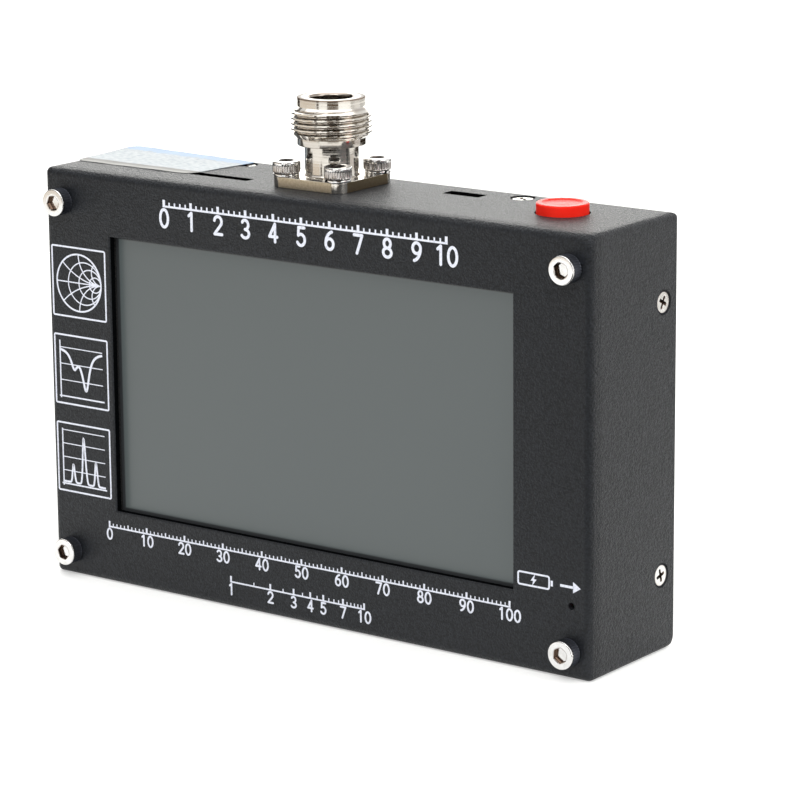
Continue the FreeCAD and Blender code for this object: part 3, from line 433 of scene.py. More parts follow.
def soiled(add, metal):
    # Painted shade: the metal darkens towards these colours, and mirrors less at a low angle, where the mark
    # is high.
    grime = add("Attribute", attribute_name="grime", out="Fac")
    for step, colour in enumerate(shadeColours.values()):
        metal = add("Mix RGBA", add("MapRange", grime, step / 2, step / 2 + 0.5), metal, colour)
    return metal, grime, add("MapRange", grime, 0, 0.5, 1, shadeDulledTint)


def workedMetal(name, colour, shade, roughness, ring, blotch):
    # Plated or drawn metal: nearly even, with faint stains, painted shade in sockets, knurls and creases, and
    # on turned pieces the rings that the tool left.
    add, place, finished = startMaterial(name, Metallic=1.0)
    stain = add("TexNoise", place, Scale=perMetre(blotch), Detail=3.0)
    fromAxis = add("Attribute", attribute_name="fromAxis", out="Fac")
    rings = add("TexNoise", W=add("Math MULTIPLY", fromAxis, 1 / ring), Scale=1.0, Detail=2.0,
                noise_dimensions="1D")
    metal, grime, tint = soiled(add, add("Mix RGBA", add("MapRange", stain, 0.35, 0.7), colour, shade))
    polish = add("Math MULTIPLY_ADD", grime, 0.15, add("MapRange", rings, 0.3, 0.7, *roughness))
    height = add("Math MULTIPLY_ADD", stain, 0.3, rings)
    return finished(Base_Color=metal, Roughness=polish,
                    Normal=add("Bump", Height=height, Strength=0.35, Distance=0.006 * mm), Specular_Tint=tint)


connectorNickel = {
    "colour": "#DCD9D3",
    "shade": "#CBC5BB",
    "stain": 3,
    "sawn": "#F0E3CC",
    "sawnDark": "#DFD0B3",
    "rightShade": "#6E685E",  # painted shade on the flange's right side: what is left of its brightness
    "roughness": (0.07, 0.2),
    "sawnRoughness": 0.4,
    "ring": 0.35,
    "sawGrain": 0.35,
    "skin": 0.05,  # what lies this near to a side of the flange is that side
}


def nickelPlatedBrass():
    # Turned brass under warm nickel: mirror-like round faces with faint tool rings, and a coarse golden grain
    # on the four flat sides of the flange, which were cut from extruded bar and never turned; the right one
    # is painted darker as shade.
    add, place, finished = startMaterial("nickel-plated turned brass", Metallic=1.0)
    low, high = boxOf("connector_body")
    centre = ((low + high) / 2 * mm).tolist()
    local = add("VectorMath SUBTRACT", place, (centre[0], centre[1], 0))
    x, y, z = add("SeparateXYZ", add("VectorMath ABSOLUTE", local), out=slice(3))
    side = (high[0] - low[0]) / 2
    edge = (side - connectorNickel["skin"]) * mm
    onSide = add("Math GREATER_THAN", add("Math MAXIMUM", x, y), edge)
    onFlat = add("Math LESS_THAN", add("Math MINIMUM", x, y), (side - flange["corner"]) * mm)
    onRight = add("Math GREATER_THAN", add("SeparateXYZ", local), edge)
    sawn = add("Math MULTIPLY", onSide, onFlat)
    grain = add("TexNoise", place, Scale=perMetre(connectorNickel["sawGrain"]), Detail=3.0, Roughness=0.65)
    stain = add("TexNoise", place, Scale=perMetre(connectorNickel["stain"]), Detail=2.0)
    rings = add("TexNoise", W=z, Scale=perMetre(connectorNickel["ring"]), Detail=1.0, noise_dimensions="1D")
    plate = add("Mix RGBA", stain, connectorNickel["colour"], connectorNickel["shade"])
    pits = add("MapRange", grain, 0.35, 0.62)
    rough = add("Mix RGBA", pits, connectorNickel["sawnDark"], connectorNickel["sawn"])
    # Painted shade: the flange's right side darker.
    rough = add("Mix RGBA", onRight, rough, connectorNickel["rightShade"], blend_type="MULTIPLY")
    metal, grime, tint = soiled(add, add("Mix RGBA", sawn, plate, rough))
    polish = add("MapRange", rings, 0.3, 0.7, *connectorNickel["roughness"])
    polish = add("Math MAXIMUM", polish, add("Math MULTIPLY", sawn, connectorNickel["sawnRoughness"]))
    relief = add("Bump", Height=add("Mix", sawn, rings, grain), Strength=add("MapRange", sawn, 0, 1, 0.05, 1),
                 Distance=0.04 * mm)
    return finished(Base_Color=metal, Roughness=polish, Normal=relief, Specular_Tint=tint)


# Moulded or cast plastics: name, colour, the shade it flows into, roughness, in millimetres the width of that
# flow and the width and depth of the mould's grain, then clear coat, gloss and the share of light that passes
# into it.
plastics = {
    "red_plastic": ("glossy red ABS", "#F72F22", "#EE281C", 0.2, 4.0, 0.5, 0.002, 0.0, 0.027, 0.1),
    "white_plastic": ("natural nylon", "#ECE9DF", "#DEDACB", 0.42, 3.0, 0.3, 0.004, 0.0, 0.5, 0.25),
    "socket_plastic": ("ivory liquid-crystal polymer", "#D9CDB2", "#C6B898", 0.5, 2.0, 0.25, 0.006, 0.0, 0.5,
                       0.05),
    "black_moulding": ("black epoxy moulding compound", "#1B1B1D", "#2B2B2C", 0.55, 0.5, 0.15, 0.01, 0.0, 0.5,
                       0.0),
    "lamp_resin": ("diffused red lamp resin", "#B2281C", "#9A1C14", 0.18, 1.0, 0.4, 0.001, 0.5, 0.5, 0.5),
    "white_fluoropolymer": ("turned fluoropolymer", "#EFEFEA", "#E2E1DA", 0.38, 1.5, 0.25, 0.004, 0.0, 0.5,
                            0.3),
    "clear_acrylic": ("frosted acrylic light guide", "#F2F5F5", "#DDE3E4", 0.15, 2.0, 0.6, 0.004, 0.3, 0.5,
                      0.4),
    "ceramic": ("sintered ceramic chips", "#B79C78", "#3A332D", 0.45, 1.2, 0.2, 0.006, 0.0, 0.5, 0.0),
    "adhesive_tape": ("foam-backed acrylic tape", "#D9D3BE", "#C4BC9E", 0.65, 2.5, 0.35, 0.01, 0.0, 0.5, 0.1),
}


def mouldedPlastic(name, colour, shade, roughness, flow, grain, depth, coat, gloss, glow):
    # Moulded plastic: a colour that drifts a little where the melt flowed, with the mould's own fine grain.
    add, place, finished = startMaterial(name, Coat_Weight=coat, Coat_Roughness=0.12,
                                         Specular_IOR_Level=gloss, Subsurface_Weight=glow,
                                         Subsurface_Scale=0.6 * mm, Subsurface_Radius=(1.0, 0.6, 0.4))
    melt = add("TexNoise", place, Scale=perMetre(flow), Detail=2.0)
    mould = add("TexNoise", place, Scale=perMetre(grain), Detail=2.0)
    tone = add("Mix RGBA", add("MapRange", melt, 0.35, 0.65), colour, shade)
    sheen = add("MapRange", mould, 0, 1, roughness * 0.8, roughness * 1.25)
    return finished(Base_Color=tone, Roughness=sheen, Normal=add("Bump", Height=mould, Distance=depth * mm))


labelFilm = {
    "white": "#9DA3A5",
    "mottle": "#808A92",
    "blue": "#7891AC",
    "rule": "#504F4B",
    "margin": "#6F6E69",  # grey strip along the front edge
    # painted shadow line along the film's front edge
    "edge": "#2A2A29",
    "swell": 5,
    "band": 3.6,
    "ragged": 5.0,
    "streak": 1.4,
    "ruleWidth": 3.3,
    "marginWidth": 1.7,
    "shadowLineWidth": 0.45,
}


def glossyLabelFilm():
    # Coated label film: white with a soft gloss, a pale-blue printed band along its rear edge with a worn
    # border, and along the front a grey strip between a thin rule and a painted shadow line at the film's
    # edge.
    add, place, finished = startMaterial("coated label film", Roughness=0.35, Specular_IOR_Level=0.1)
    fromFront, fromRear = (add("Attribute", attribute_name=mark, out="Fac")
                           for mark in ("fromFront", "fromRear"))
    stretched = add("Mapping", place, Scale=(1.0, 2.4, 1.0))
    wear = add("TexNoise", stretched, Scale=perMetre(labelFilm["streak"]), Detail=4.0)
    border = add("Math MULTIPLY_ADD", wear, labelFilm["ragged"], fromRear)
    worn = add("MapRange", wear, 0.38, 0.62)
    film = add("Mix RGBA", worn, labelFilm["white"], labelFilm["mottle"])
    for colour, along, start, blend in (
            ("blue", border, labelFilm["band"] + labelFilm["ragged"] / 2, 0.6),
            ("rule", fromFront, labelFilm["ruleWidth"], 0.2),
            ("margin", fromFront, labelFilm["marginWidth"], 0.3),
            ("edge", fromFront, labelFilm["shadowLineWidth"], 0.15)):
        cover = add("MapRange", along, start, start - blend)
        film = add("Mix RGBA", cover, film, labelFilm[colour])
    swell = add("TexNoise", place, Scale=perMetre(labelFilm["swell"]), Detail=1.0)
    return finished(Base_Color=film, Normal=add("Bump", Height=swell, Distance=0.03 * mm, Strength=0.5))


def polariserGlass():
    # Display glass with its polariser: almost black, glossy, with the faint columns of the colour filter.
    add, place, finished = startMaterial("polarised display glass", Roughness=0.12, Coat_Weight=0.5)
    columns = add("TexWave", place, Scale=perMetre(1.2), bands_direction="X", out="Fac")
    glass = add("Mix RGBA", columns, "#16191B", "#1E2225")
    return finished(Base_Color=glass)


def openCellFoam():
    # Black polyurethane foam: open cells about 0.4 mm wide, so it looks matt and porous.
    add, place, finished = startMaterial("black open-cell foam", Roughness=0.95)
    cells = add("TexVoronoi", place, Scale=perMetre(0.4))
    foam = add("Mix RGBA", cells, "#070707", "#1A1A1A")
    return finished(Base_Color=foam, Normal=add("Bump", Height=cells, Distance=0.1 * mm))


circuitBoard = {"mask": "#0D4A2B", "copper": "#1D7444", "pad": "#C6C2B6", "trace": 0.9, "block": 9.0,
                "via": 4.2}


def solderMaskedLaminate():
    # Glass-epoxy board under green solder mask: raised copper tracks show lighter, tinned pads stay bare.
    add, place, finished = startMaterial("green solder-masked laminate")
    blocks = add("TexVoronoi", place, Scale=perMetre(circuitBoard["block"]), distance="CHEBYCHEV",
                 out="Color")
    upright = add("SeparateColor", blocks)
    upright = add("Math GREATER_THAN", upright, 0.5)
    tracks = []
    for direction in ("X", "Z"):
        wave = add("TexWave", place, Scale=perMetre(circuitBoard["trace"]) / 3.2, bands_direction=direction,
                   out="Fac")
        tracks.append(add("Math GREATER_THAN", wave, 0.72))
    track = add("Mix", upright, tracks[0], tracks[1])
    vias = add("TexVoronoi", place, Scale=perMetre(circuitBoard["via"]))
    pad = add("Math LESS_THAN", vias, 0.12)
    mask = add("Mix RGBA", track, circuitBoard["mask"], circuitBoard["copper"])
    board = add("Mix RGBA", pad, mask, circuitBoard["pad"])
    sheen = add("MapRange", pad, 0, 1, 0.28, 0.4)
    height = add("Math MAXIMUM", track, pad)
    return finished(Base_Color=board, Roughness=sheen,
                    Normal=add("Bump", Height=height, Distance=0.03 * mm, Strength=0.6))


def copperCladPolyimide():
    # Flexible ribbon of amber polyimide film: parallel copper lines 0.5 mm apart shine through it.
    add, place, finished = startMaterial("amber polyimide ribbon", Roughness=0.3, Coat_Weight=0.3)
    lines = add("TexWave", place, Scale=perMetre(0.5) / 3.2, bands_direction="X", out="Fac")
    copper = add("Math GREATER_THAN", lines, 0.5)
    film = add("Mix RGBA", copper, "#8A4E14", "#B9752C")
    return finished(Base_Color=film, Normal=add("Bump", Height=copper, Distance=0.02 * mm, Strength=0.5))


def laminatedPouchFoil():
    # Aluminium foil laminated for a battery pouch: a soft silver gloss over shallow creases.
    add, place, finished = startMaterial("laminated pouch foil", Metallic=0.85, Roughness=0.38)
    creases = add("TexNoise", place, Scale=perMetre(7), Detail=4.0, Distortion=0.6)
    foil = add("Mix RGBA", creases, "#BDBFC1", "#A6A8AB")
    return finished(Base_Color=foil, Normal=add("Bump", Height=creases, Distance=0.3 * mm, Strength=0.5))


def softVinylInsulation():
    # Extruded vinyl on the battery's two leads, softly glossy: the outer lead is red, the inner one black.
    add, place, finished = startMaterial("extruded vinyl insulation", Roughness=0.4)
    low, high = boxOf("battery_leads")
    reach = 1.54  # from either end of the leads' box to the gap between the two
    x, y, z = add("SeparateXYZ", place, out=slice(3))
    first = add("Math LESS_THAN", x, (low[0] + reach) * mm)
    below = add("Math LESS_THAN", x, (high[0] - reach) * mm)
    level = boxOf("battery_pack")[1][2] + 3.5  # where the two leads bend
    above = add("Math GREATER_THAN", z, level * mm)
    upper = add("Math MULTIPLY", below, above)
    red = add("Math MAXIMUM", first, upper)
    vinyl = add("Mix RGBA", red, "#161616", "#B3221B")
    haze = add("TexNoise", place, Scale=perMetre(0.8), Detail=2.0)
    return finished(Base_Color=vinyl, Normal=add("Bump", Height=haze, Distance=0.01 * mm))


flange = {"corner": 2.2, "hole": 1.6, "bore": 3.5, "samples": 96, "edge": 0.12}
label = {
    "gap": 0.03,
    "lift": 0.04,
    # Corners of the film, each with its overhang over the printed solid's corner, its height and its
    # rounding.
    "corners": {"frontLeft": (-0.9, -1.5, 0.0, 1.6), "frontRight": (-1.4, -1.5, 0.02, 3.2),
                "rearLeft": (-0.9, 0.8, 0.5, 2.4), "rearRight": (1.1, 0.3, 0.08, 0.8)},
    "columns": 120,
    "rows": 60,
}

looks = {slot: workedMetal(*finish) for slot, finish in metals.items()}
looks.update({slot: mouldedPlastic(*finish) for slot, finish in plastics.items()})
looks.update({
    "powder_coat": texturedPowderCoat(),
    "touch_glass": hardCoatedTouchFilm(),
    "display_face": polariserGlass(),
    "foam": openCellFoam(),
    "board_laminate": solderMaskedLaminate(),
    "polyimide": copperCladPolyimide(),
    "nickel_plate": nickelPlatedBrass(),
    "battery_foil": laminatedPouchFoil(),
    "lead_insulation": softVinylInsulation(),
    "label_film": glossyLabelFilm(),
})
ink = screenPrintedInk()

for row in frame["record"]["subparts"]:
    nodes[row["node"]].data.materials.clear()
    nodes[row["node"]].data.materials.append(looks[row["material_slot"]])
print("materials made:", len(looks) + 1)


# Screws. An outline corner is radius, height over the seat, share of the socket's shape, share of the knurl
# and painted shade.

def hexOutline(turn):
    # Distance to a hexagon's side over that to its corner: the cosine of 30 degrees over the cosine of the
    # angle from the middle of the side.
    return math.cos(math.pi / 6) / np.cos(turn % (math.pi / 3) - math.pi / 6)


def crossOutline(turn):
    # Four wings of length one: the half width over the sine of the angle from the nearest wing, capped at one
    # by an eighth-power mean that rounds the corners.
    away = np.abs((turn + math.pi / 4) % (math.pi / 2) - math.pi / 4)
    return (1 + (np.sin(away) / shellScrew["wing"]) ** 8) ** -0.125


capScrew = {
    "head": 2.75,
    "shank": 1.5,
    "socket": 1.55,  # from the centre to a corner of the hexagon
    "socketDepth": 0.9,
    "teeth": 32,
    "toothDepth": 0.1,
    "columns": 288,
}


def capScrewSurface(headHeight, length, rounding, sideShade, socketShade):
    # Turned outline: up the shank, out under the head, up its knurled side, over the rounded edge of its top
    # and down into the hexagon.
    head, shank, socket, deep = (capScrew[key] for key in ("head", "shank", "socket", "socketDepth"))
    # Painted shade on the knurled side and the head's foot, and down in the hexagon socket.
    stem = [(0, -length), (shank, -length), (shank, 0), (head - 0.3, 0, 0, 0, sideShade),
            (head, 0.3, 0, 0, sideShade), (head, 0.45, 0, 1, sideShade),
            (head, headHeight - rounding - 0.15, 0, 1, sideShade), (head, headHeight - rounding)]
    crown = softened([(head, headHeight - rounding), (head, headHeight),
                      (head - rounding * 2, headHeight)], rounding, 6)
    recess = [(socket + 0.1, headHeight), (socket, headHeight - 0.08, 1, 0, 0.4),
              (socket, headHeight - 0.2, 1, 0, socketShade), (socket, headHeight - deep, 1, 0, socketShade),
              (socket - 0.12, headHeight - deep - 0.01, 1, 0, 0.05), (0, headHeight - deep - 0.03, 1)]
    outline = np.vstack([softened(stem, 0.12, 2), crown, softened(recess, 0.04, 2)])
    return turnedForm(outline, capScrew["columns"], hexOutline, capScrew["teeth"], capScrew["toothDepth"])


goldenAngle = math.pi * (3 - math.sqrt(5))  # spreads the screws' final turns, so no two sockets stand alike


def seated(name, surface, seats, outs, slot, replaced, first=0.0, step=goldenAngle):
    # The same screw or washer at every seat: the first one's turn, and the step from each to the next.
    turns = [outwards(out, first + step * order) for order, out in enumerate(outs)]
    makePiece(name, copied(surface, turns, seats), slot, replaced=replaced)


panelLow, panelHigh = solidsOf("panel_screws")
panelSeats = np.column_stack([(panelLow + panelHigh)[:, 0] / 2, np.full(len(panelLow), frontY),
                              (panelLow + panelHigh)[:, 2] / 2])
screws = capScrewSurface(frontY - panelLow[0][1], panelHigh[0][1] - frontY, rounding=0.5, sideShade=1.5,
                         socketShade=0.62)
seated("panel_cap_screws", screws, panelSeats, [(0, -1, 0)] * 4, "stainless_cap_screws", "panel_screws",
       first=0.35)

socketLow, socketHigh = solidsOf("connector_screws")
washerTop = solidsOf("connector_washers")[1][0][2]
socketSeats = np.column_stack([(socketLow + socketHigh)[:, :2] / 2, np.full(len(socketLow), washerTop)])
screws = capScrewSurface(socketHigh[0][2] - washerTop, washerTop - socketLow[0][2], rounding=0.7,
                         sideShade=0.2, socketShade=0.25)
seated("connector_cap_screws", screws, socketSeats, [(0, 0, 1)] * 4, "stainless_cap_screws",
       "connector_screws", first=0.2)

shellScrew = {"head": 2.2, "shank": 1.25, "rim": 0.15, "sunk": 0.2, "length": 4.0, "recess": 1.25,
              "recessDepth": 1.0, "wing": 0.25, "columns": 192}


def shellScrewSurface():
    # Turned outline: up the shank, out along the countersunk cone, in over the rim and down into the cross.
    head, shank, rim, recess, deep = (shellScrew[key]
                                      for key in ("head", "shank", "rim", "recess", "recessDepth"))
    cone = rim + head - shank
    # Painted shadow as a dark ring round the head's rim, and painted shade down the cross.
    stem = [(0, -shellScrew["length"]), (shank, -shellScrew["length"]), (shank, -cone),
            (head, -rim, 0, 0, 1), (head, 0, 0, 0, 1), (head - 0.16, 0, 0, 0, 1), (head - 0.22, 0, 0, 0, 0.1),
            (recess + 0.3, 0)]
    cross = [(recess + 0.12, 0, 1), (recess, -0.06, 1, 0, 0.7), (recess * 0.72, -deep * 0.55, 1, 0, 0.7),
             (recess * 0.4, -deep * 0.95, 1, 0, 0.5), (0, -deep, 1, 0, 0.3)]
    outline = np.vstack([softened(stem, 0.06, 3), softened(cross, 0.05, 2)])
    outline[:, 1] -= shellScrew["sunk"]
    return turnedForm(outline, shellScrew["columns"], crossOutline)


shellLow, shellHigh = solidsOf("shell_screws")
sides = np.hstack([housingLow, housingHigh])
reached = np.abs(np.hstack([shellLow, shellHigh]) - sides).argmin(1)  # the side that each one comes out at
outs = np.vstack([-np.eye(3), np.eye(3)])[reached]
shellFaces = np.where(outs, sides[reached][:, None], (shellLow + shellHigh) / 2)
seated("countersunk_cover_screws", shellScrewSurface(), shellFaces, outs, "bright_screws", "shell_screws")

washer = {"inner": 1.62, "outer": 2.6, "split": 0.26, "slant": 0.18, "soft": 0.08, "steps": 72}


def washerSurface(thickness):
    # Split ring: a softened rectangle carried round the axis, from one side of the split to the other. The
    # split leans with height, and each end closes on the middle line of its section.
    section = softened([(washer["inner"], 0), (washer["inner"], thickness), (washer["outer"], thickness),
                        (washer["outer"], 0), (washer["inner"], 0)], washer["soft"], 3, width=2)[:-1]
    radius, height = section.T
    turn = np.linspace(washer["split"] / 2, fullTurn - washer["split"] / 2, washer["steps"])[:, None]
    lean = turn + washer["slant"] * (height[None, :] / thickness - 0.5)
    ring = capped(aroundAxis(radius, lean, height))
    marks = {"fromAxis": np.linalg.norm(ring[..., :2], axis=-1).ravel(), "grime": np.zeros(ring[..., 0].size)}
    return ring.reshape(-1, 3), gridQuads(len(ring), len(section), False, True), marks


washerLow = solidsOf("connector_washers")[0]
washerSeats = np.column_stack([socketSeats[:, :2], np.full(len(socketSeats), washerLow[0][2])])
seated("split_spring_washers", washerSurface(washerTop - washerLow[0][2]), washerSeats, [(0, 0, 1)] * 4,
       "stainless_cap_screws", "connector_washers", first=0.9, step=1.7)
print("screws and washers made")


# Antenna socket.

barrel = {
    "neck": 5.3,
    "neckFoot": 0.35,
    "neckHeight": 5.95,
    "collar": 6.7,
    "collarHeight": 1.5,
    "thread": 7.94,
    "threadDepth": 0.64,
    "threadPitch": 1.058,
    "threadStart": 6.95,  # radius of the cone that the thread starts on
    "crest": 97.61,  # height of one crest where it faces the camera side
    "crestTurn": math.radians(-53.3),
    "flank": (0.3, 0.84),  # where a flank begins and ends, as a share of half a pitch from the crest's middle
    "nose": 6.75,
    "noseFlare": 1.7,  # below the nose's top the cone down to the thread begins
    "flareSlope": 1.25,
    "bore": 4.25,
    "boreDepth": 10.4,
    "insulator": 3.5,
    # painted shade in the thread's roots
    "rootShade": 0.16,
    "threadRows": 132,
    "columns": 160,
}


def barrelSurface(foot, top):
    # Outline of the turned barrel, closed through its bore: up the neck and collar, along the thread, over
    # the nose and down inside. On the thread the radius follows a helix: a flat crest, flanks and a flat
    # root, repeated each pitch and shifted by a pitch per turn, never more than the cones at its two ends
    # allow.
    neckTop = foot + barrel["neckHeight"]
    collarTop = neckTop + barrel["collarHeight"]
    flare = top - barrel["noseFlare"]
    # The fourth number of a corner is its painted shade, in the creases and at the nose's edges.
    lower = softened([(barrel["insulator"], foot), (barrel["neck"] + barrel["neckFoot"], foot, 0, 0.2),
                      (barrel["neck"], foot + barrel["neckFoot"]), (barrel["neck"], neckTop, 0, 0.1),
                      (barrel["collar"], neckTop, 0, 0.15), (barrel["collar"], collarTop, 0, 0.1)], 0.12, 3,
                     width=4)
    heights = np.linspace(collarTop, flare, barrel["threadRows"])
    threaded = np.column_stack([np.full(len(heights), barrel["thread"]), heights, np.ones(len(heights)),
                                np.zeros(len(heights))])
    floor = top - barrel["boreDepth"]
    nose, bore = barrel["nose"], barrel["bore"]
    upper = softened([(nose, flare), (nose, top - 0.35, 0, 0.05), (nose, top, 0, 0.5),
                      (nose - 0.8, top, 0, 0.4), (nose - 1.2, top, 0, 0.12), (bore + 0.6, top, 0, 0.1),
                      (bore + 0.35, top, 0, 0.3), (bore, top - 0.35, 0, 0.28), (bore, top - 1.5, 0, 0.1),
                      (bore, floor, 0, 0.1), (barrel["insulator"], floor), (barrel["insulator"], foot)], 0.14,
                     4, width=4)
    outline = np.vstack([lower, threaded, upper])
    radius, height, onThread, outlineShade = outline.T[:, :, None]
    turn = np.linspace(0, fullTurn, barrel["columns"], endpoint=False)[None, :]
    pitch = barrel["threadPitch"]
    phase = ((height - barrel["crest"]) / pitch - (turn - barrel["crestTurn"]) / fullTurn) % 1
    flankStart, flankEnd = barrel["flank"]
    tooth = np.clip((flankEnd - 2 * np.minimum(phase, 1 - phase)) / (flankEnd - flankStart), 0, 1)
    helix = barrel["thread"] - barrel["threadDepth"] * (1 - tooth)
    lowCone = barrel["threadStart"] + (height - collarTop)
    highCone = barrel["nose"] + (flare - height) * barrel["flareSlope"]
    reach = np.where(onThread > 0, np.minimum(helix, np.minimum(lowCone, highCone)), radius)
    grime = outlineShade + barrel["rootShade"] * (1 - tooth) * (onThread > 0)
    points = aroundAxis(reach, turn, height).reshape(-1, 3)
    return points, gridQuads(len(outline), barrel["columns"], False, True), {"grime": grime.ravel()}


def flangeSurface(half, thickness):
    # A quarter of the square plate, mirrored to the other three. In it a ring of faces runs from the screw
    # hole out to the nearest edge on each ray: the bore's circle, the two middle lines, the outer sides or
    # the corner's arc.
    hole = (socketSeats[:, 0].max() - socketSeats[:, 0].min()) / 2
    corner, bore = flange["corner"], flange["bore"]
    marks = np.array([(0, half), (0, bore), (bore, 0), (half, 0), (half, half - corner),
                      (half - corner, half)])
    ray = np.sort(np.concatenate([np.linspace(0, fullTurn, flange["samples"], endpoint=False),
                                  np.arctan2(marks[:, 1] - hole, marks[:, 0] - hole) % fullTurn]))
    ray = ray[np.append(True, np.diff(ray) > 1e-4)]
    step = np.stack([np.cos(ray), np.sin(ray)], 1)
    toSides = np.where(step > 0, (half - hole) / np.maximum(step, 1e-9),
                       -hole / np.minimum(step, -1e-9)).min(1)
    room = (hole * step.sum(1)) ** 2 - 2 * hole ** 2 + bore ** 2  # negative where a ray misses the bore
    toBore = hole * -step.sum(1) - np.sqrt(np.maximum(room, 0))
    toSides = np.where((room >= 0) & (toBore > 0) & (toBore < toSides), toBore, toSides)
    shift = hole - (half - corner)
    along = shift * step.sum(1)
    toArc = -along + np.sqrt(along ** 2 - 2 * shift ** 2 + corner ** 2)
    reached = hole + step * toSides[:, None]
    toSides = np.where((reached > half - corner).all(1), toArc, toSides)
    inner, outer = hole + step * flange["hole"], hole + step * toSides[:, None]
    flat = np.vstack([np.column_stack([ring, np.full(len(ray), level)])
                      for ring, level in ((inner, 0), (inner, thickness), (outer, thickness), (outer, 0))])
    quads = gridQuads(4, len(ray), True, True)
    onMiddle = (np.abs(flat[quads][:, :, :2]) < 1e-6).all(1).any(1)  # walls that two quarters would share
    quads = quads[~onMiddle]
    return gathered([(flat * mirror, quads) for mirror in ((1, 1, 1), (-1, 1, 1), (1, -1, 1), (-1, -1, 1))])


socketBox = boxOf("connector_body")
socketCentre = (socketBox[0] + socketBox[1]) / 2
flangeTop = washerLow[0][2]
points, quads, marks = barrelSurface(flangeTop, socketBox[1][2])
makePiece("connector_barrel", (points + [socketCentre[0], socketCentre[1], 0], quads, marks),
          "nickel_plate", replaced="connector_body", sharp=40)
points, quads = flangeSurface((socketBox[1][0] - socketBox[0][0]) / 2, flangeTop - topZ)
plate = makePiece("connector_flange", (points + [socketCentre[0], socketCentre[1], topZ], quads),
                  "nickel_plate", replaced="connector_body", sharp=30)
edge = plate.modifiers.new("edge", "BEVEL")
edge.width = flange["edge"] * mm
edge.segments = 2
edge.limit_method = "ANGLE"
edge.angle_limit = math.radians(50)
edge.harden_normals = True
print("antenna socket made")


# Power button.

button = {"rim": 0.7, "dish": 0.3, "lip": 1.2, "crown": 0.12, "fit": 0.05, "columns": 160}


def squareOutline(turn):
    # Distance to a square's side over that to its corner.
    return math.cos(math.pi / 4) / np.cos(turn % (math.pi / 2) - math.pi / 4)


def buttonSurface(radius, low, high, stemSide, stemTop):
    # Turned outline: up the square hole for the stem, out under the skirt, over the rolled rim into a shallow
    # dish.
    square = (stemSide / 2 + button["fit"]) * math.sqrt(2)
    under = [(0, stemTop, 1), (square, stemTop, 1), (square, low, 1), (radius - 0.25, low),
             (radius, low + 0.25), (radius, high - button["rim"])]
    rim = softened([(radius, high - button["rim"]), (radius, high),
                    (radius - button["rim"] * 1.4, high)], button["rim"], 8)
    lip = radius - button["lip"]
    dish = softened([(radius - button["rim"] * 1.5, high - 0.01), (lip + 0.15, high - 0.06),
                     (lip - 0.35, high - button["dish"] * 0.8), (lip - 1.6, high - button["dish"]),
                     (0, high - button["dish"] + button["crown"])], 0.3, 5)
    outline = np.vstack([softened(under, 0.08, 2), rim, dish])
    return turnedForm(outline, button["columns"], squareOutline)


buttonLow, buttonHigh = boxOf("power_button")
stemLow, stemHigh = boxOf("switch_plunger")
buttonCentre = (buttonLow + buttonHigh) / 2
surface = buttonSurface((buttonHigh - buttonLow)[0] / 2, buttonLow[2], buttonHigh[2],
                        (stemHigh - stemLow)[0], stemHigh[2])
makePiece("dished_power_button", copied(surface, [np.eye(3)], [buttonCentre * (1, 1, 0)]),
          "red_plastic", body="button", replaced="power_button")
print("button made")


# Label on the top: a film that reaches a little in front of the printed part.

def labelSurface(low, high):
    # The film is a sheet between four corners, drawn in on a circle at each of them. It lies on the front
    # edge and stands off a little towards the rear, in a slow wave of two sines; below, it reaches down to
    # the wall.
    u = (np.sin(np.linspace(-math.pi / 2, math.pi / 2, label["columns"]))[:, None] + 1) / 2
    v = np.linspace(0, 1, label["rows"])[None, :]
    solid = {"Left": low[0], "Right": high[0], "front": low[1], "rear": high[1]}
    corners, drawn = {}, {}
    for name, (across, along, height, rounding) in label["corners"].items():
        end = "Left" if name.endswith("Left") else "Right"
        corners[name] = np.array([solid[end] + across, solid[name[:-len(end)]] + along, height])
        away = (u if end == "Left" else 1 - u) * (high[0] - low[0])
        gap = np.maximum(rounding - away, 0)
        drawn[name] = rounding - np.sqrt(rounding ** 2 - gap ** 2)
    depth = high[1] - low[1] - label["corners"]["frontLeft"][1]
    front = np.maximum(drawn["frontLeft"], drawn["frontRight"]) / depth
    rear = np.maximum(drawn["rearLeft"], drawn["rearRight"]) / depth
    across = (front + (1 - front - rear) * v)[..., None]
    left = corners["frontLeft"] * (1 - across) + corners["rearLeft"] * across
    right = corners["frontRight"] * (1 - across) + corners["rearRight"] * across
    sheet = left * (1 - u[..., None]) + right * u[..., None]
    x, y, height = np.moveaxis(sheet, -1, 0)
    wave = label["lift"] * (1 + 0.6 * np.sin(x * 0.31) * np.sin(y * 0.4) + 0.4 * np.sin(x * 0.83 + 1.3))
    over = np.stack([x, y, topZ + label["gap"] + height + wave], -1)
    under = np.stack([x, y, 0 * x + topZ + label["gap"]], -1)
    ring = np.concatenate([over, under[:, ::-1]], 1)
    middle = np.concatenate([(over + under) / 2, ((over + under) / 2)[:, ::-1]], 1)
    ring = np.concatenate([middle[:1], ring, middle[-1:]])
    fromFront = np.concatenate([across[..., 0], across[:, ::-1, 0]], 1) * depth
    fromFront = np.concatenate([fromFront[:1], fromFront, fromFront[-1:]])
    marks = {"fromFront": fromFront.ravel(), "fromRear": (depth - fromFront).ravel()}
    return ring.reshape(-1, 3), gridQuads(len(ring), ring.shape[1], False, True), marks


makePiece("top_label_film", labelSurface(*boxOf("top_label")), "label_film",
          replaced="top_label", sharp=60)
print("label made")


# Printing on the front, all of it scales, plain numbers and drawing-board figures.

printing = {"proud": 0.03, "sunk": 0.01, "fine": 0.24, "bold": 0.36, "rise": 0.002, "advance": 0.76}
inkUnder, inkOver = frontY + printing["sunk"], frontY - printing["proud"]


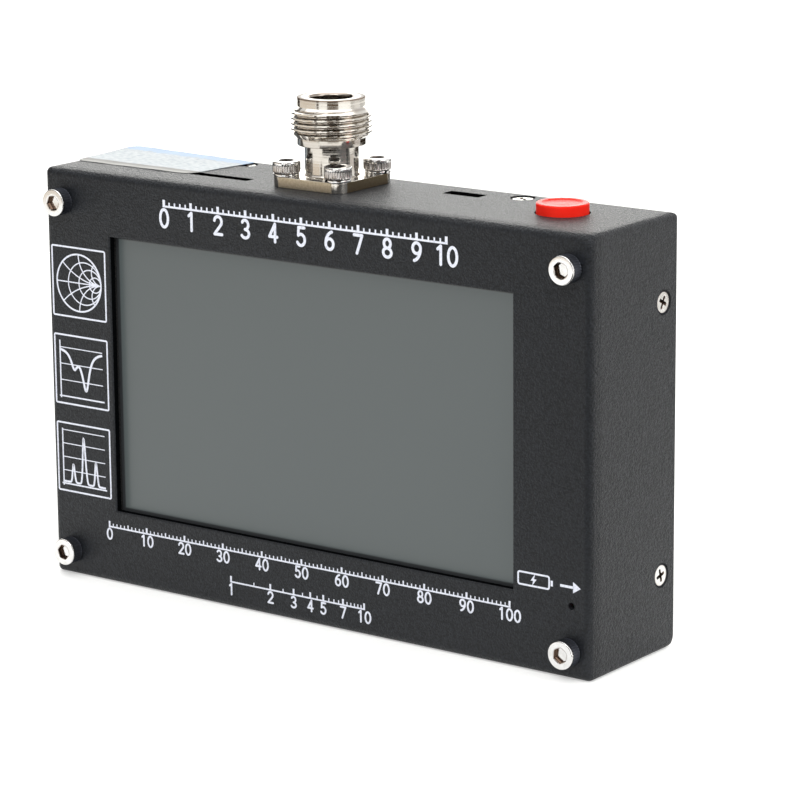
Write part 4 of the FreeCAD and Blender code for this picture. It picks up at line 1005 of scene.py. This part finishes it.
def onFront(outlines, levels):
    # Outlines in X and Z, each stood at its own level along Y.
    return [np.column_stack([flat[:, 0], np.full(len(flat), level), flat[:, 1]])
            for flat, level in zip(outlines, levels)]


def strokeSurface(path, width, closed=False):
    # A flat bar along a path on the front: half its width to each side of the path, from just under the paint
    # to the ink's own height over it. An open bar closes on the middle of its end section.
    path = np.array(path, float)
    along = np.roll(path, -1, 0) - np.roll(path, 1, 0) if closed else np.gradient(path, axis=0)
    side = unit(along)[:, ::-1] * (-1, 1) * width / 2
    corners = (path + side, path + side, path - side, path - side)
    tube = np.stack(onFront(corners, (inkUnder, inkOver, inkOver, inkUnder)), 1)
    tube = tube if closed else capped(tube)
    return tube.reshape(-1, 3), gridQuads(len(tube), 4, closed, True)


def patchSurface(outline):
    # A filled patch: its outline under and over, each drawn in to the patch's own centre.
    outline = np.array(outline, float)
    centre = np.tile(outline.mean(0), (len(outline), 1))
    rings = onFront((centre, outline, outline, centre), (inkUnder, inkUnder, inkOver, inkOver))
    return np.vstack(rings), gridQuads(4, len(outline), False, True)


def roundedFrame(centre, width, height, radius):
    # Rectangle with round corners: the corner's centre by the signs of cosine and sine, plus the arc itself.
    t = (np.arange(64) + 0.5) / 64 * fullTurn
    return np.column_stack([centre[0] + (width / 2 - radius) * np.sign(np.cos(t)) + radius * np.cos(t),
                            centre[1] + (height / 2 - radius) * np.sign(np.sin(t)) + radius * np.sin(t)])


def arc(x, z, wide, high, start, end):
    # Part of an ellipse: the cosine and sine of each turn, in degrees, times half the width and height.
    turn = np.radians(np.linspace(start, end, 32))
    return np.column_stack([x + wide * np.cos(turn), z + high * np.sin(turn)])


def ring(x, z, wide, high):
    # A whole ellipse, one step short of its own start.
    return arc(x, z, wide, high, 0, 360 * 31 / 32)


# Strokes of the ten digits in a box 0.6 wide and 1 high; a ring closes on itself. Nine is six upside down.
six = [(ring(0.3, 0.31, 0.24, 0.27), True), (arc(0.58, 0.31, 0.52, 0.65, 180, 105), False)]
digits = [
    [(ring(0.3, 0.5, 0.26, 0.46), True)],
    [([(0.16, 0.8), (0.34, 0.96)], False), ([(0.34, 0.96), (0.34, 0.04)], False)],
    [(np.vstack([arc(0.3, 0.7, 0.24, 0.26, 170, -36), [(0.07, 0.04)]]), False),
     ([(0.07, 0.04), (0.56, 0.04)], False)],
    [(arc(0.28, 0.72, 0.21, 0.24, 150, -90), False), (arc(0.28, 0.26, 0.25, 0.22, 90, -150), False)],
    [([(0.42, 0.04), (0.42, 0.96)], False), ([(0.42, 0.96), (0.06, 0.3)], False),
     ([(0.06, 0.3), (0.56, 0.3)], False)],
    [([(0.5, 0.96), (0.14, 0.96)], False), ([(0.14, 0.96), (0.12, 0.55)], False),
     (arc(0.28, 0.33, 0.25, 0.29, 130, -150), False)],
    six,
    [([(0.05, 0.96), (0.55, 0.96)], False), ([(0.55, 0.96), (0.22, 0.04)], False)],
    [(ring(0.3, 0.73, 0.2, 0.23), True), (ring(0.3, 0.27, 0.25, 0.23), True)],
    [((0.6, 1) - path, closed) for path, closed in six],
]


def stacked(surfaces):
    # Strokes that cross: each one stands a little over the one before, so that no two share a plane.
    return gathered([(points - (0, printing["rise"] * order, 0), quads)
                     for order, (points, quads) in enumerate(surfaces)])


def printNumbers(name, places, scale):
    # Plain numbers centred on their places along X, standing on one level, in strokes with round ends.
    height, weight = scale["digits"], scale["weight"]
    drawn = []
    for number, place in zip(scale["numbers"], places):
        start = place - height * (printing["advance"] * (len(str(number)) - 1) + 0.6) / 2
        for order, digit in enumerate(str(number)):
            corner = (start + order * height * printing["advance"], scale["level"])
            strokes = []
            for path, closed in digits[int(digit)]:
                path = np.array(path) * height + corner
                strokes.append(strokeSurface(path, weight, closed))
                if not closed:
                    strokes += [patchSurface(ring(*end, weight / 2, weight / 2)) for end in path[[0, -1]]]
            drawn.append(stacked(strokes))
    return printStrokes(name, drawn)


def printStrokes(name, surfaces):
    return makePiece(name, gathered(surfaces), sharp=40)


def tick(x, low, high, width):
    return strokeSurface([(x, low), (x, high)], width)


def printScale(name, scale, places, finer):
    # Numbers under a line, and ticks on the line: long ones at the numbers, and each finer set only where
    # none stands yet.
    printNumbers(f"{name}_numbers", places, scale)
    low, thick = scale["line"] + scale["lineWidth"] / 2, scale["width"]
    strokes = [tick(x, low, low + scale["major"], thick) for x in places]
    taken = np.array(places)
    for spots, length, width in finer:
        free = spots[np.abs(spots[:, None] - taken).min(1) > 0.1]
        strokes += [tick(x, low, low + length, width) for x in free]
        taken = np.append(taken, free)
    line = [(places[0] - thick / 2, scale["line"]), (places[-1] + thick / 2, scale["line"])]
    printStrokes(f"{name}_ticks", strokes + [strokeSurface(line, scale["lineWidth"])])


upperScale = {"from": -34.9, "to": 34.0, "numbers": range(0, 11), "level": 75.8, "digits": 3.8,
              "weight": 0.62, "line": 80.1, "lineWidth": 0.4, "width": 0.62, "major": 1.1, "minor": 0.65}
places = np.linspace(upperScale["from"], upperScale["to"], len(upperScale["numbers"]))
fifths = np.linspace(upperScale["from"], upperScale["to"], (len(places) - 1) * 5 + 1)
printScale("upper_scale", upperScale, places, [(fifths, upperScale["minor"], 0.36)])

lowerScale = {"from": -51.5, "to": 48.3, "numbers": range(0, 101, 10), "level": 9.05, "digits": 2.4,
              "weight": 0.4, "line": 11.8, "lineWidth": 0.32, "width": 0.44, "major": 1.0, "middle": 0.8,
              "minor": 0.55}
places = np.linspace(lowerScale["from"], lowerScale["to"], len(lowerScale["numbers"]))
tenths = np.linspace(lowerScale["from"], lowerScale["to"], (len(places) - 1) * 10 + 1)
printScale("lower_scale", lowerScale, places, [((places[:-1] + places[1:]) / 2, lowerScale["middle"], 0.3),
                                               (tenths, lowerScale["minor"], 0.24)])

shortScale = {"from": -19.6, "to": 13.8, "numbers": (1, 2, 3, 4, 5, 7, 10), "level": 2.6, "digits": 2.4,
              "weight": 0.4, "line": 5.35, "lineWidth": 0.32, "width": 0.44, "major": 1.04, "minor": 0.6}
span = shortScale["to"] - shortScale["from"]
places = shortScale["from"] + span * np.log10(shortScale["numbers"])
halves = shortScale["from"] + span * np.log10(np.arange(1, 10.01, 0.5))
printScale("short_scale", shortScale, places, [(halves, shortScale["minor"], 0.24)])

figures = {"x": -57.95, "width": 14.5, "height": 14.77, "radius": 0.3, "inset": 1.55, "chart": 5.9,
           "levels": (61.92, 43.5, 24.94), "resistances": (0.35, 1.0, 2.8), "reactances": (0.4, 1.0, 2.4)}


def impedanceFigure():
    # Half plane of impedances folded into a disc: each point z goes to (z - 1) / (z + 1). Lines of one
    # resistance become circles that touch at the right, lines of one reactance arcs that end there.
    centre, reach = complex(figures["x"], figures["levels"][0]), figures["chart"]
    sweep = np.tan(np.linspace(-0.4999, 0.4999, 121) * math.pi)
    outward = np.tan(np.linspace(0, 0.49, 40) * math.pi)
    curves = [(resistance + 1j * sweep, True) for resistance in (0.0, *figures["resistances"])]
    curves += [(outward + 1j * reactance * sign, False) for reactance in figures["reactances"]
               for sign in (-1, 1)]
    strokes = []
    for order, (impedance, closed) in enumerate(curves):
        disc = centre + reach * (impedance - 1) / (impedance + 1)
        strokes.append(strokeSurface(np.column_stack([disc.real, disc.imag]),
                                     printing["fine" if order else "bold"], closed))
    ends = [(centre.real - reach, centre.imag), (centre.real + reach, centre.imag)]
    return strokes + [strokeSurface(ends, printing["fine"])]


def plottedFigure(level, curve, rules, width):
    # Axes with a few rules across, and a curve of height over length, both from 0 to 1 inside the frame.
    half, fine = figures["width"] / 2 - figures["inset"], printing["fine"]
    left, low, size = figures["x"] - half, level - half, 2 * half
    along = np.linspace(0.02, 1.0, 140)
    return [strokeSurface([(left, low - 0.4), (left, low + size + 0.3)], fine * 1.3),
            strokeSurface([(left - 0.4, low), (left + size + 0.3, low)], fine * 1.3),
            *(strokeSurface([(left, low + size * rule), (left + size, low + size * rule)], fine * 0.8)
              for rule in rules),
            strokeSurface(np.column_stack([left + size * along, low + size * curve(along)]), width)]


def dipCurve(along):
    # A high level less one deep and one shallow resonance, each one over one plus the squared distance.
    return 0.9 - 0.72 / (1 + ((along - 0.6) / 0.1) ** 2) - 0.3 / (1 + ((along - 0.33) / 0.09) ** 2)


def peaksCurve(along):
    # Three bells on a low floor, the tallest in the middle.
    return sum(high * np.exp(-((along - middle) / wide) ** 2) for middle, wide, high in
               ((0.5, 0.045, 0.86), (0.24, 0.035, 0.34), (0.78, 0.035, 0.45))) + 0.04


for name, level, strokes in zip(
        ("impedance_figure", "resonance_figure", "spectrum_figure"), figures["levels"],
        (impedanceFigure(), plottedFigure(figures["levels"][1], dipCurve, (0.3, 0.6, 0.9), 0.5),
         plottedFigure(figures["levels"][2], peaksCurve, (0.25, 0.5, 0.75, 1.0), 0.42))):
    border = roundedFrame((figures["x"], level), figures["width"] - printing["bold"],
                          figures["height"] - printing["bold"], figures["radius"])
    printStrokes(name, [stacked([strokeSurface(border, printing["bold"], closed=True)] + strokes)])

# Charging symbol: a battery with a bolt in it, and an arrow towards the slot on the side.
charging = {"from": 50.1, "to": 64.4, "z": 18.0, "width": 7.4, "height": 2.8, "bolt": 0.9, "line": 0.36,
            "arrow": 1.1}
z, size = charging["z"], charging["bolt"]
x = charging["from"] + charging["width"] / 2
bolt = np.array([(0.35, 1.3), (-0.75, -0.2), (-0.12, -0.2), (-0.35, -1.3), (0.75, 0.2), (0.12, 0.2)]) * size
tip, reach, thick = charging["to"], charging["arrow"], charging["line"]
case = roundedFrame((x, z), charging["width"] - thick, charging["height"] - thick, 0.4)
printStrokes("charging_symbol", [
    strokeSurface(case, thick, closed=True),
    tick(x + charging["width"] / 2 + 0.4, z - 0.55, z + 0.55, 0.5),
    patchSurface(bolt + (x, z)),
    strokeSurface([(tip - 4.6, z), (tip - 1.6, z)], 0.5),
    patchSurface([(tip, z), (tip - 1.7, z + reach), (tip - 1.7, z - reach)]),
])
print("printing made")


# Studio: camera, pale floor, soft lamps, and cards that only reflections see.

camera = {"azimuth": 36.62, "elevation": 13.43, "roll": -0.476, "distance": 698.6,
          "target": (12.15, 0.0, 44.21), "lens": 160.57}


def makeCamera():
    azimuth, elevation, roll = (math.radians(camera[key]) for key in ("azimuth", "elevation", "roll"))
    back = np.array([math.sin(azimuth) * math.cos(elevation), -math.cos(azimuth) * math.cos(elevation),
                     math.sin(elevation)])
    right = unit(np.cross(-back, [0, 0, 1]))
    up = np.cross(right, -back)
    right, up = (right * math.cos(roll) + up * math.sin(roll), up * math.cos(roll) - right * math.sin(roll))
    place = (np.array(camera["target"]) + back * camera["distance"]) * mm
    data = bpy.data.cameras.new("camera")
    data.lens = camera["lens"]
    holder = placed("camera", data)
    holder.matrix_world = Matrix(np.vstack([np.column_stack([right, up, back, place]),
                                            [0, 0, 0, 1]]).tolist())
    bpy.context.scene.camera = holder


studio = {
    "ambient": 0.62,
    "floor": "#DEDEDC",
    "floorSeen": 0.35,  # what the lit floor lacks to white, for the eye and for reflections only
    "floorSize": 8.0,
    "floorLevel": -0.05,
    # Lamps: place, size, power and colour.
    "lamps": {
        "over": ((-0.1, 0.1, 1.3), 1.4, 9.0, (1.0, 1.0, 1.0)),
        "front": ((0.35, -1.0, 1.1), 0.9, 9.0, (1.0, 1.0, 1.0)),
        "right": ((1.3, -0.2, 0.6), 1.2, 9.0, (1.0, 1.0, 1.0)),
        "behind": ((-1.0, 1.3, 0.5), 1.6, 18.5, (1.0, 0.995, 0.95)),
    },
    # Cards that only reflections see: the radii and levels of a strip's two long edges, then for each card
    # its azimuths from and to and a colour, brown where round metal turns dark. Front ones give round metal
    # its bands, high ones shade the folds, rear ones darken the rims of what is round, and low ones the
    # flange's right side. The flat one lies on the floor on the camera's side, where the front right fold
    # mirrors it.
    "cards": {
        "front": ((0.5, 0.5), (0.0, 0.115),
                  ((-112, -91, "#3B332B"), (-90, -16, "#FFF4E6"), (-13, -5, "#6A5D52"), (24, 61, "#736557"))),
        "high": ((0.6, 0.6), (0.12, 0.5), ((-112, -5, "#3C3C3D"), (5, 78, "#242425"))),
        "rear": ((0.36, 0.36), (0.0026, 0.045),
                 ((-150, -112, "#5A5044"), (106, 122, "#8D867D"), (122, 148, "#EDE8E4"),
                  (150, 205, "#3A3229"))),
        "low": ((0.36, 0.36), (0.0, 0.0026), ((-150, -112, "#5A5044"), (106, 205, "#2B2824"))),
        "flat": ((0.09, 0.32), (0.0002, 0.0002), ((-5, 92, "#1C1A19"),)),
    },
}


def seenDirectly(add):
    # One for the eye, for reflections and for refractions, nought for light that falls on things.
    seen = 0.0
    for ray in ("Camera", "Glossy", "Transmission"):
        seen = add("Math MAXIMUM", seen, add("LightPath", out=f"Is {ray} Ray"))
    return seen


def makeWorld():
    world = bpy.data.worlds.new("pale studio")
    bpy.context.scene.world = world
    world.use_nodes = True
    add = partial(addNode, world.node_tree)
    level = add("MapRange", seenDirectly(add), 0, 1, studio["ambient"], 1)
    fill(world.node_tree.nodes["Background"], Strength=level, Color="#FFFFFF")


def stagePiece(name, points, quads, material):
    mesh = bpy.data.meshes.new(name)
    mesh.from_pydata(points, [], quads)
    mesh.materials.append(material)
    piece = placed(name, mesh)
    return piece


def makeFloor():
    half = studio["floorSize"] / 2
    add, place, finished = startMaterial("pale painted board", Base_Color=studio["floor"], Roughness=0.9,
                                         Specular_IOR_Level=0.1, Emission_Color="#FFFFFF")
    board = finished(Emission_Strength=add("Math MULTIPLY", seenDirectly(add), studio["floorSeen"]))
    floor = stagePiece("floor", [(-half, -half, 0), (half, -half, 0), (half, half, 0), (-half, half, 0)],
                       [(0, 1, 2, 3)], board)
    floor.location.z = studio["floorLevel"] * mm


def makeCard(name, start, end, colour, radii, levels):
    # A strip round the object from one azimuth to another; each row of corners has a radius and a level.
    azimuth = np.radians(np.linspace(start, end, 12))[:, None]
    points = np.stack([radii * np.sin(azimuth), radii * -np.cos(azimuth), levels + 0 * azimuth], -1)
    add, place, finished = startMaterial("matt studio card", Base_Color="#000000", Specular_IOR_Level=0.0,
                                         Emission_Strength=1.0, Emission_Color=colour)
    card = stagePiece(name, points.reshape(-1, 3), gridQuads(*points.shape[:2], False, False), finished())
    card.visible_camera = card.visible_diffuse = card.visible_shadow = card.visible_transmission = False


def makeCards():
    for group, (radii, levels, cards) in studio["cards"].items():
        for order, (start, end, colour) in enumerate(cards):
            makeCard(f"{group}_card_{order}", start, end, colour, radii, levels)


def makeLamps():
    for name, (place, size, power, colour) in studio["lamps"].items():
        data = bpy.data.lights.new(name, "AREA")
        data.size, data.energy, data.color = size, power, colour
        holder = placed(name, data)
        holder.location = place
        away = holder.location - (cadBox[0] + cadBox[1]) / 2
        holder.rotation_euler = away.to_track_quat("Z", "Y").to_euler()


makeCamera()
makeWorld()
makeFloor()
makeCards()
makeLamps()
bpy.context.scene.view_settings.view_transform = "Standard"
print("studio made")
